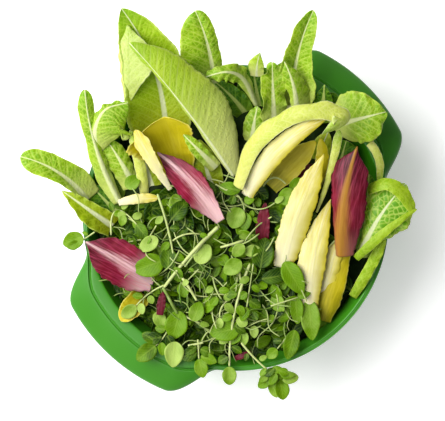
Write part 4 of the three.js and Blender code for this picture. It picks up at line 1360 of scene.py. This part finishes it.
@dataclass(frozen=True)
class Sprig:
    """One watercress stem, bowed between its root and its tip, with leaves on alternate sides.

    bow and lift are as bowed_line takes them. size is the length of the leaf at the tip; the
    leaves nearer the root are smaller, and leaves counts them.
    """

    root: Point
    tip: Point
    bow: float = 0.0
    lift: float = 4.0
    radius: float = 0.9
    tone: float = 0.7
    leaves: int = 0
    size: float = 0.0
    seed: int = 0
    first_leaf: float = 0.3
    side_turn: tuple[float, float] = (45, 80)
    stalk: float = 2.0

    def stem(self, points: int = 7) -> Stem:
        """The stem itself."""
        line = bowed_line(self.root, self.tip, self.bow, self.lift, np.linspace(0, 1, points))
        return Stem(self.radius, 0.75 * self.radius, self.tone, line)

    def foliage(self) -> list[Leaflet]:
        """The leaf at the tip and those along the stem, varied a little by the seed."""
        if not self.size:
            return []
        chance = np.random.default_rng(self.seed)
        t = np.linspace(self.first_leaf, 1.0, self.leaves + 1)
        line = bowed_line(self.root, self.tip, self.bow, self.lift, t)
        ahead = bowed_line(self.root, self.tip, self.bow, self.lift, t - 0.02)
        found = []
        for k, (place, before) in enumerate(zip(line, ahead)):
            at_tip = k == self.leaves
            way = math.degrees(math.atan2(place[1] - before[1], place[0] - before[0]))
            side = 1 if k % 2 else -1
            heading = way + (chance.uniform(-12, 12) if at_tip else side * chance.uniform(*self.side_turn))
            length = self.size * (1.0 if at_tip else 0.5 + 0.3 * t[k]) * chance.uniform(0.85, 1.15)
            reach = 0.5 * length + (0.0 if at_tip else self.stalk)
            turn = math.radians(heading)
            x, y = place[0] + reach * math.cos(turn), place[1] + reach * math.sin(turn)
            found.append(Leaflet(x, y, place[2] + 1.0, length, length * chance.uniform(0.62, 0.85), heading,
                                 chance.uniform(0.1, 0.85), chance.uniform(-12, 12), chance.uniform(-15, 15)))
        return found


@dataclass(frozen=True)
class Tangle:
    """Small pieces strewn over the heap by Geometry Nodes.

    Scales are shares of the strewn pattern's size, lean is in degrees, and density is pieces
    for each square metre.
    """

    name: str
    density: float
    seed: int
    scales: tuple[float, float]
    lean: float
    tones: tuple[float, float]

    def tree(self, pattern: bpy.types.Object, material: bpy.types.Material) -> bpy.types.NodeTree:
        """Builds the node tree.

        Args:
            pattern: The piece that is strewn.
            material: What the result wears.

        Returns:
            The tree, whose inputs are set on the modifier.
        """
        tree = bpy.data.node_groups.new(self.name, "GeometryNodeTree")
        shares = ("Density", "Smallest", "Largest", "Lean", "Darkest", "Lightest")
        sockets = [("Geometry", "NodeSocketGeometry")]
        sockets += [(title, "NodeSocketFloat") for title in shares]
        sockets += [("Seed", "NodeSocketInt")]
        for title, kind in sockets:
            tree.interface.new_socket(name=title, in_out="INPUT", socket_type=kind)
        tree.interface.new_socket(name="Geometry", in_out="OUTPUT", socket_type="NodeSocketGeometry")
        sheet = Sheet(tree)
        given = sheet.node("NodeGroupInput").outputs
        points = sheet.node("GeometryNodeDistributePointsOnFaces",
                            {"Mesh": given["Geometry"], "Density": given["Density"], "Seed": given["Seed"]})
        low = sheet.node("ShaderNodeCombineXYZ", {0: sheet.maths("MULTIPLY", given["Lean"], -1.0),
                                                  1: sheet.maths("MULTIPLY", given["Lean"], -1.0)}).outputs[0]
        high = sheet.node("ShaderNodeCombineXYZ",
                          {0: given["Lean"], 1: given["Lean"], 2: math.tau}).outputs[0]
        turn = sheet.node("FunctionNodeRandomValue", {0: low, 1: high, "Seed": given["Seed"]},
                          data_type="FLOAT_VECTOR")
        size = sheet.node("FunctionNodeRandomValue",
                          {2: given["Smallest"], 3: given["Largest"], "Seed": given["Seed"]},
                          data_type="FLOAT")
        made = sheet.node("GeometryNodeObjectInfo", {"Object": pattern, "As Instance": True})
        strewn = sheet.node("GeometryNodeInstanceOnPoints",
                            {"Points": points.outputs["Points"], "Instance": made.outputs["Geometry"],
                             "Rotation": turn.outputs[0], "Scale": size.outputs[1]})
        tone = sheet.node("FunctionNodeRandomValue",
                          {2: given["Darkest"], 3: given["Lightest"], "Seed": 11}, data_type="FLOAT")
        marked = sheet.node("GeometryNodeStoreNamedAttribute",
                            {"Geometry": strewn.outputs["Instances"], "Name": "tone",
                             "Value": tone.outputs[1]},
                            data_type="FLOAT", domain="INSTANCE")
        real = sheet.node("GeometryNodeRealizeInstances", {"Geometry": marked.outputs["Geometry"]})
        worn = sheet.node("GeometryNodeSetMaterial",
                          {"Geometry": real.outputs["Geometry"], "Material": material})
        sheet.node("NodeGroupOutput", {"Geometry": worn.outputs["Geometry"]})
        return tree

    def strew(self, bed: bpy.types.Object, pattern: bpy.types.Object,
              material: bpy.types.Material) -> bpy.types.Object:
        """Strews the pattern over the bed and gives the result as a plain mesh.

        Args:
            bed: The surface that the pieces lie on.
            pattern: The piece that is strewn.
            material: What the result wears.

        Returns:
            The new object; the bed is left without its modifier.
        """
        tree = self.tree(pattern, material)
        modifier = bed.modifiers.new(self.name, "NODES")
        modifier.node_group = tree
        values = {"Density": self.density, "Smallest": self.scales[0], "Largest": self.scales[1],
                  "Lean": math.radians(self.lean), "Darkest": self.tones[0], "Lightest": self.tones[1],
                  "Seed": self.seed}
        for item in tree.interface.items_tree:
            if item.in_out == "INPUT" and item.name in values:
                modifier[item.identifier] = values[item.name]
        bpy.context.view_layer.update()
        graph = bpy.context.evaluated_depsgraph_get()
        mesh = bpy.data.meshes.new_from_object(bed.evaluated_get(graph), depsgraph=graph)
        bed.modifiers.remove(modifier)
        mesh.name = self.name
        mesh.polygons.foreach_set("use_smooth", [True] * len(mesh.polygons))
        piece = bpy.data.objects.new(self.name, mesh)
        bpy.context.scene.collection.objects.link(piece)
        return piece


class Watercress:
    """The watercress over the front of the heap: laid leaves and stems, and the tangle below them."""

    laid_rise: float = 15.0
    leaf_rise: float = 1.5
    rim_clearance: float = 106.0

    def __init__(self, wardrobe: Wardrobe, core: Core) -> None:
        """Keeps the finishes and the heap's shape."""
        self.wardrobe = wardrobe
        self.core = core

    def bed(self, name: str, rise: float, middle: tuple[float, float],
            radii: tuple[float, float]) -> bpy.types.Object:
        """A patch of surface a little above the core.

        Args:
            name: What to call it.
            rise: Height above the core's top, in millimetres.
            middle: The patch's middle.
            radii: Its half width and half depth.

        Returns:
            The patch, which is deleted after strewing.
        """
        steps = 40
        line = np.linspace(-1, 1, steps + 1)
        u, w = np.meshgrid(line, line)
        disc_x, disc_y = u * np.sqrt(1 - w ** 2 / 2), w * np.sqrt(1 - u ** 2 / 2)
        x, y = middle[0] + radii[0] * disc_x, middle[1] + radii[1] * disc_y
        reach = np.hypot(x, y)
        edge = self.core.edge()
        pull = np.minimum(1, 0.98 * edge / np.maximum(reach, 1))
        x, y = x * pull, y * pull
        z = self.core.top(np.hypot(x, y) / edge, np.arctan2(y, x)) + rise
        grid = np.stack([x, y, z], axis=2).reshape(-1, 3) * MM
        index = np.arange((steps + 1) ** 2).reshape(steps + 1, steps + 1)
        corners = (index[:-1, :-1], index[:-1, 1:], index[1:, 1:], index[1:, :-1])
        quads = np.stack(corners, axis=2).reshape(-1, 4)
        mesh = bpy.data.meshes.new(name)
        mesh.from_pydata(grid.tolist(), [], quads.tolist())
        patch = bpy.data.objects.new(name, mesh)
        bpy.context.scene.collection.objects.link(patch)
        return patch

    def strewn(self) -> None:
        """The tangle of leaves and thin stems by Geometry Nodes."""
        leaf = Leaflet(0, 0, 0, 16, 13, 0, 0.5).mesh(10, 6)
        leaf.tone = None
        leaf_pattern = leaf.to_object("cress_leaf_pattern", self.wardrobe.cress, linked=False)
        wiggle = ((-17, 0, 0), (-8, 4, 1.5), (3, 3, 0.5), (12, -3, 2), (19, -2, 0))
        stem = Stem(0.45, 0.35, 0.5, wiggle).mesh(6, 4)
        stem.tone = None
        stem_pattern = stem.to_object("cress_stem_pattern", self.wardrobe.stem, linked=False)
        low = self.bed("low_bed", 3.0, (-18, -62), (118, 92))
        high = self.bed("high_bed", 9.0, (-18, -52), (92, 78))
        leaf_dress = (leaf_pattern, self.wardrobe.cress, "cress_leaf")
        stem_dress = (stem_pattern, self.wardrobe.stem, "cress_stem")
        plans = (
            # The low layer gets darker tones than the high one: painted shade under the upper leaves.
            (Tangle("cress_low_leaves", 15000, 4, (0.8, 1.5), 40, (-0.1, 0.34)), low, *leaf_dress),
            (Tangle("cress_high_leaves", 2600, 9, (0.55, 1.15), 42, (0.1, 0.7)), high, *leaf_dress),
            (Tangle("cress_thin_stems", 4500, 6, (0.8, 1.7), 26, (-0.2, 0.7)), high, *stem_dress),
        )
        for tangle, bed, pattern, material, slot in plans:
            settle(tangle.strew(bed, pattern, material), slot, "salad_heap")
        for spent in (low, high):
            bpy.data.objects.remove(spent)

    def rest_height(self, x: float, y: float) -> float:
        """How high a laid leaf or stem may lie: a little above the heap, or just over the rim."""
        edge = self.core.edge()
        share = np.array([min(math.hypot(x, y) / edge, 0.98)])
        top = float(self.core.top(share, np.array([math.atan2(y, x)]))[0])
        return max(top + self.laid_rise, self.rim_clearance)

    def laid(self) -> None:
        """The leaves and stems that lie on top, each in its own place."""
        leaves = list(BROAD_LEAVES)
        stems = []
        for sprig in SPRIGS:
            leaves += sprig.foliage()
            stem = sprig.stem()
            line = [(x, y, min(z, self.rest_height(x, y))) for x, y, z in stem.points]
            stems.append(replace(stem, points=line).mesh())
        rested = [replace(leaf, z=min(leaf.z, self.rest_height(leaf.x, leaf.y) + self.leaf_rise))
                  for leaf in leaves]
        heap = MeshData.joined([leaf.mesh() for leaf in rested])
        settle(heap.to_object("cress_laid_leaves", self.wardrobe.cress), "cress_leaf", "salad_heap")
        tubes = MeshData.joined(stems).to_object("cress_laid_stems", self.wardrobe.stem)
        settle(tubes, "cress_stem", "salad_heap")
        over = MeshData.joined([leaf.mesh() for sprig in RIM_SPRIGS for leaf in sprig.foliage()])
        settle(over.to_object("cress_sprig_over_rim", self.wardrobe.cress), "cress_leaf", "cress_sprig_front")

    def build(self) -> None:
        """Makes all the watercress."""
        self.strewn()
        self.laid()


BROAD_LEAVES = (
    Leaflet(-25, 24, 132, 18, 14, 80, 0.2),
    Leaflet(-6, 27, 130, 20, 12, 170, 0.35),
    Leaflet(0, 0, 134, 20, 18, 250, 0.7),
    Leaflet(47, 19, 132, 18, 17, 200, 0.6),
    Leaflet(57, 30, 130, 17, 15, 30, 0.5),
    Leaflet(-80, -24, 128, 20, 14, 215, 0.9),
    Leaflet(-80, -44, 126, 28, 21, 200, 0.45),
    Leaflet(-62, -37, 123, 20, 16, 90, 0.2),
    Leaflet(-30, -33, 130, 20, 16, 55, 0.9),
    Leaflet(25, -32, 126, 28, 21, 80, 0.15),
    Leaflet(15, -30, 132, 15, 11, 15, 0.8),
    Leaflet(-3, -45, 130, 19, 15, 215, 0.65),
    Leaflet(53, -55, 130, 34, 19, 300, 0.5),
    Leaflet(69, -94, 124, 38, 18, 275, 0.6),
    Leaflet(56, -85, 126, 26, 13, 275, 0.5),
    Leaflet(51, -117, 119, 28, 14, 255, 0.35),
    Leaflet(-55, -99, 127, 27, 21, 255, 0.5),
    Leaflet(-57, -126, 113, 24, 18, 265, 0.9),
    Leaflet(-10, -104, 125, 28, 20, 190, 0.45),
    Leaflet(-36, -86, 127, 19, 14, 70, 0.6),
    Leaflet(-52, 7, 122, 22, 16, 50, 0.15),
    Leaflet(-95, 33, 126, 16, 14, 40, 0.6),
    Leaflet(-150, -21, 110, 20, 17, 200, 0.55),
    Leaflet(36, -54, 120, 25, 13, 10, 0.15),
    Leaflet(-70, -94, 122, 16, 13, 290, 0.75),
)

SPRIGS = (
    Sprig((-16, -8, 133), (-66, -64, 130), bow=-2, lift=5, radius=2.0, tone=0.8),
    Sprig((-29, -21, 131), (-47, -45, 131), lift=1, radius=1.2, tone=0.35),
    Sprig((-55, -48, 133), (-36, -76, 127), bow=1, lift=2, radius=1.6, tone=0.75),
    Sprig((-72, 22, 126), (-56, -45, 134), bow=2, lift=3, radius=1.2, tone=0.65, leaves=4, size=14, seed=1),
    Sprig((-58, -21, 128), (-33, -15, 133), bow=3, lift=2, radius=0.9, leaves=1, size=9, seed=2),
    Sprig((-115, -16, 118), (-91, -6, 124), bow=19, lift=7, radius=0.9, leaves=6, size=14, seed=3),
    Sprig((-9, 26, 131), (8, 5, 133), bow=5, lift=4, radius=1.0, tone=0.6, leaves=2, size=15, seed=4),
    Sprig((6, 14, 136), (36, 14, 132), bow=-6, lift=2, radius=0.8, tone=0.45, leaves=1, size=11, seed=5),
    Sprig((25, 29, 132), (46, 31, 131), bow=7, lift=1, radius=0.9),
    Sprig((33, 1, 128), (7, -24, 131), bow=-3, lift=1, radius=0.8, tone=0.45, leaves=2, size=13, seed=6),
    Sprig((7, -21, 130), (-14, -27, 127), lift=1, radius=1.4, tone=0.85),
    Sprig((13, -42, 127), (-6, -137, 114), bow=-5, lift=10, radius=1.4, tone=0.85, leaves=7, size=16, seed=7),
    Sprig((3, -49, 128), (6, -66, 128), radius=1.1, lift=1, tone=0.8),
    Sprig((16, -42, 126), (10, -82, 124), lift=2, radius=0.7, tone=0.55, leaves=4, size=15, seed=8),
    Sprig((32, -81, 124), (57, -73, 127), lift=1, radius=0.8, leaves=1, size=12, seed=9),
    Sprig((29, -93, 120), (4, -106, 123), bow=-2, lift=1, radius=0.6, tone=0.6, leaves=4, size=16, seed=10),
    Sprig((47, -110, 122), (38, -121, 117), lift=1, radius=0.7, tone=0.6, leaves=1, size=14, seed=11),
    Sprig(
        (-66, -62, 130), (-92, -81, 122), bow=-2, lift=2, radius=0.9, tone=0.65, leaves=4, size=15, seed=12
    ),
    Sprig((-67, -64, 129), (-54, -88, 122), lift=1, radius=1.7, tone=0.1),
    Sprig((-34, -47, 126), (-44, -57, 127), lift=1, radius=0.7, tone=0.65, leaves=1, size=8, seed=13),
    Sprig(
        (-21, -55, 124), (-10, -79, 125), bow=-2, lift=1, radius=0.9, tone=0.35, leaves=4, size=14, seed=14
    ),
    Sprig((-5, -74, 130), (-15, -92, 129), bow=-3, lift=1, radius=1.0, tone=0.75, leaves=1, size=10, seed=15),
    Sprig((-47, -91, 127), (-33, -97, 123), radius=1.1, lift=1, tone=0.85, leaves=1, size=8, seed=16),
    Sprig((-44, -118, 118), (-30, -115, 119), radius=1.3, lift=1, tone=0.85),
    Sprig((-60, -96, 126), (-74, -118, 114), bow=2, lift=1, radius=0.8, tone=0.6, leaves=5, size=19, seed=17),
    Sprig((-35, -112, 120), (-34, -130, 112), lift=1, radius=0.8, tone=0.6, leaves=4, size=20, seed=18),
    Sprig((5, -115, 118), (29, -140, 117), bow=-1, lift=1, radius=1.1, tone=0.85, leaves=2, size=11, seed=19),
    Sprig((-130, -13, 112), (-145, -23, 108), radius=0.8, lift=1, tone=0.6, leaves=1, size=10, seed=20),
    Sprig((-19, 31, 127), (6, 17, 135), lift=2, radius=0.8, tone=0.6),
    Sprig((-73, -7, 126), (-79, -17, 127), radius=0.8, lift=1, tone=0.85, leaves=1, size=9, seed=21),
)

RIM_SPRIGS = (
    Sprig((28, -132, 108), (33, -150, 103), leaves=5, size=17, seed=22),
    Sprig((35, -132, 109), (41, -150, 104), leaves=6, size=18, seed=23),
)


# ---------------------------------------------------------------- the studio


@dataclass(frozen=True)
class Window:
    """A square soft light: where it stands in degrees, its side in metres and its power in watts."""

    name: str
    azimuth: float
    height: float
    size: float
    power: float
    distance: float = 2.2


@dataclass
class Studio:
    """White floor, soft light from the upper left and a camera straight above."""

    camera_height: float = 2.5
    lens: float = 210.0
    aim: tuple[float, float] = (-0.0123, 0.0068)
    floor_size: float = 6.0
    windows: tuple[Window, ...] = (
        Window("key", azimuth=160, height=49, size=2.0, power=90),
        Window("front_fill", azimuth=235, height=50, size=1.5, power=10),
        Window("high_fill", azimuth=180, height=75, size=2.2, power=12),
    )
    surround: float = 0.1
    floor_glow: float = 0.35

    def floor(self) -> None:
        """The pale floor."""
        half = self.floor_size / 2
        mesh = bpy.data.meshes.new("studio_floor")
        corners = [(-half, -half, 0), (half, -half, 0), (half, half, 0), (-half, half, 0)]
        mesh.from_pydata(corners, [], [(0, 1, 2, 3)])
        material = bpy.data.materials.new("studio_white")
        material.use_nodes = True
        shader = material.node_tree.nodes["Principled BSDF"]
        shader.inputs["Base Color"].default_value = (0.9, 0.9, 0.9, 1.0)
        shader.inputs["Roughness"].default_value = 0.9
        shader.inputs["Emission Color"].default_value = (1.0, 1.0, 1.0, 1.0)
        shader.inputs["Emission Strength"].default_value = self.floor_glow
        mesh.materials.append(material)
        piece = bpy.data.objects.new("studio_floor", mesh)
        bpy.context.scene.collection.objects.link(piece)

    def window(self, window: Window) -> None:
        """Adds one soft light."""
        azimuth, height = math.radians(window.azimuth), math.radians(window.height)
        level = math.cos(height)
        way = Vector((math.cos(azimuth) * level, math.sin(azimuth) * level, math.sin(height)))
        light = bpy.data.lights.new(window.name, "AREA")
        light.shape = "SQUARE"
        light.size = window.size
        light.energy = window.power
        lamp = bpy.data.objects.new(window.name, light)
        lamp.location = way * window.distance
        lamp.rotation_euler = (-way).to_track_quat("-Z", "Y").to_euler()
        bpy.context.scene.collection.objects.link(lamp)

    def lights(self) -> None:
        """The windows and a dim white surround."""
        for window in self.windows:
            self.window(window)
        world = bpy.data.worlds.new("surround")
        world.use_nodes = True
        world.node_tree.nodes["Background"].inputs["Color"].default_value = (1.0, 1.0, 1.0, 1.0)
        world.node_tree.nodes["Background"].inputs["Strength"].default_value = self.surround
        bpy.context.scene.world = world

    def camera(self) -> None:
        """A long lens looking straight down."""
        lens = bpy.data.cameras.new("overhead")
        lens.lens = self.lens
        lens.clip_end = 20.0
        eye = bpy.data.objects.new("overhead", lens)
        eye.location = (*self.aim, self.camera_height)
        bpy.context.scene.collection.objects.link(eye)
        bpy.context.scene.camera = eye
        bpy.context.scene.view_settings.view_transform = "Standard"

    def build(self) -> None:
        """Sets up the floor, the lights and the camera."""
        self.floor()
        self.lights()
        self.camera()


def main() -> None:
    """Builds the studio and the salad."""
    logging.basicConfig(level=logging.INFO, format="%(message)s")
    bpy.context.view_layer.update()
    Studio().build()
    wardrobe = Wardrobe()
    bowl = Bowl()
    bowl.build(wardrobe.plastic)
    core = Core(bowl)
    core.build(wardrobe.core)
    Watercress(wardrobe, core).build()
    leaves = LeafBed(wardrobe)
    leaves.build(BLADES)
    leaves.shade(SHADE_BLADES)


if __name__ == "__main__":
    main()
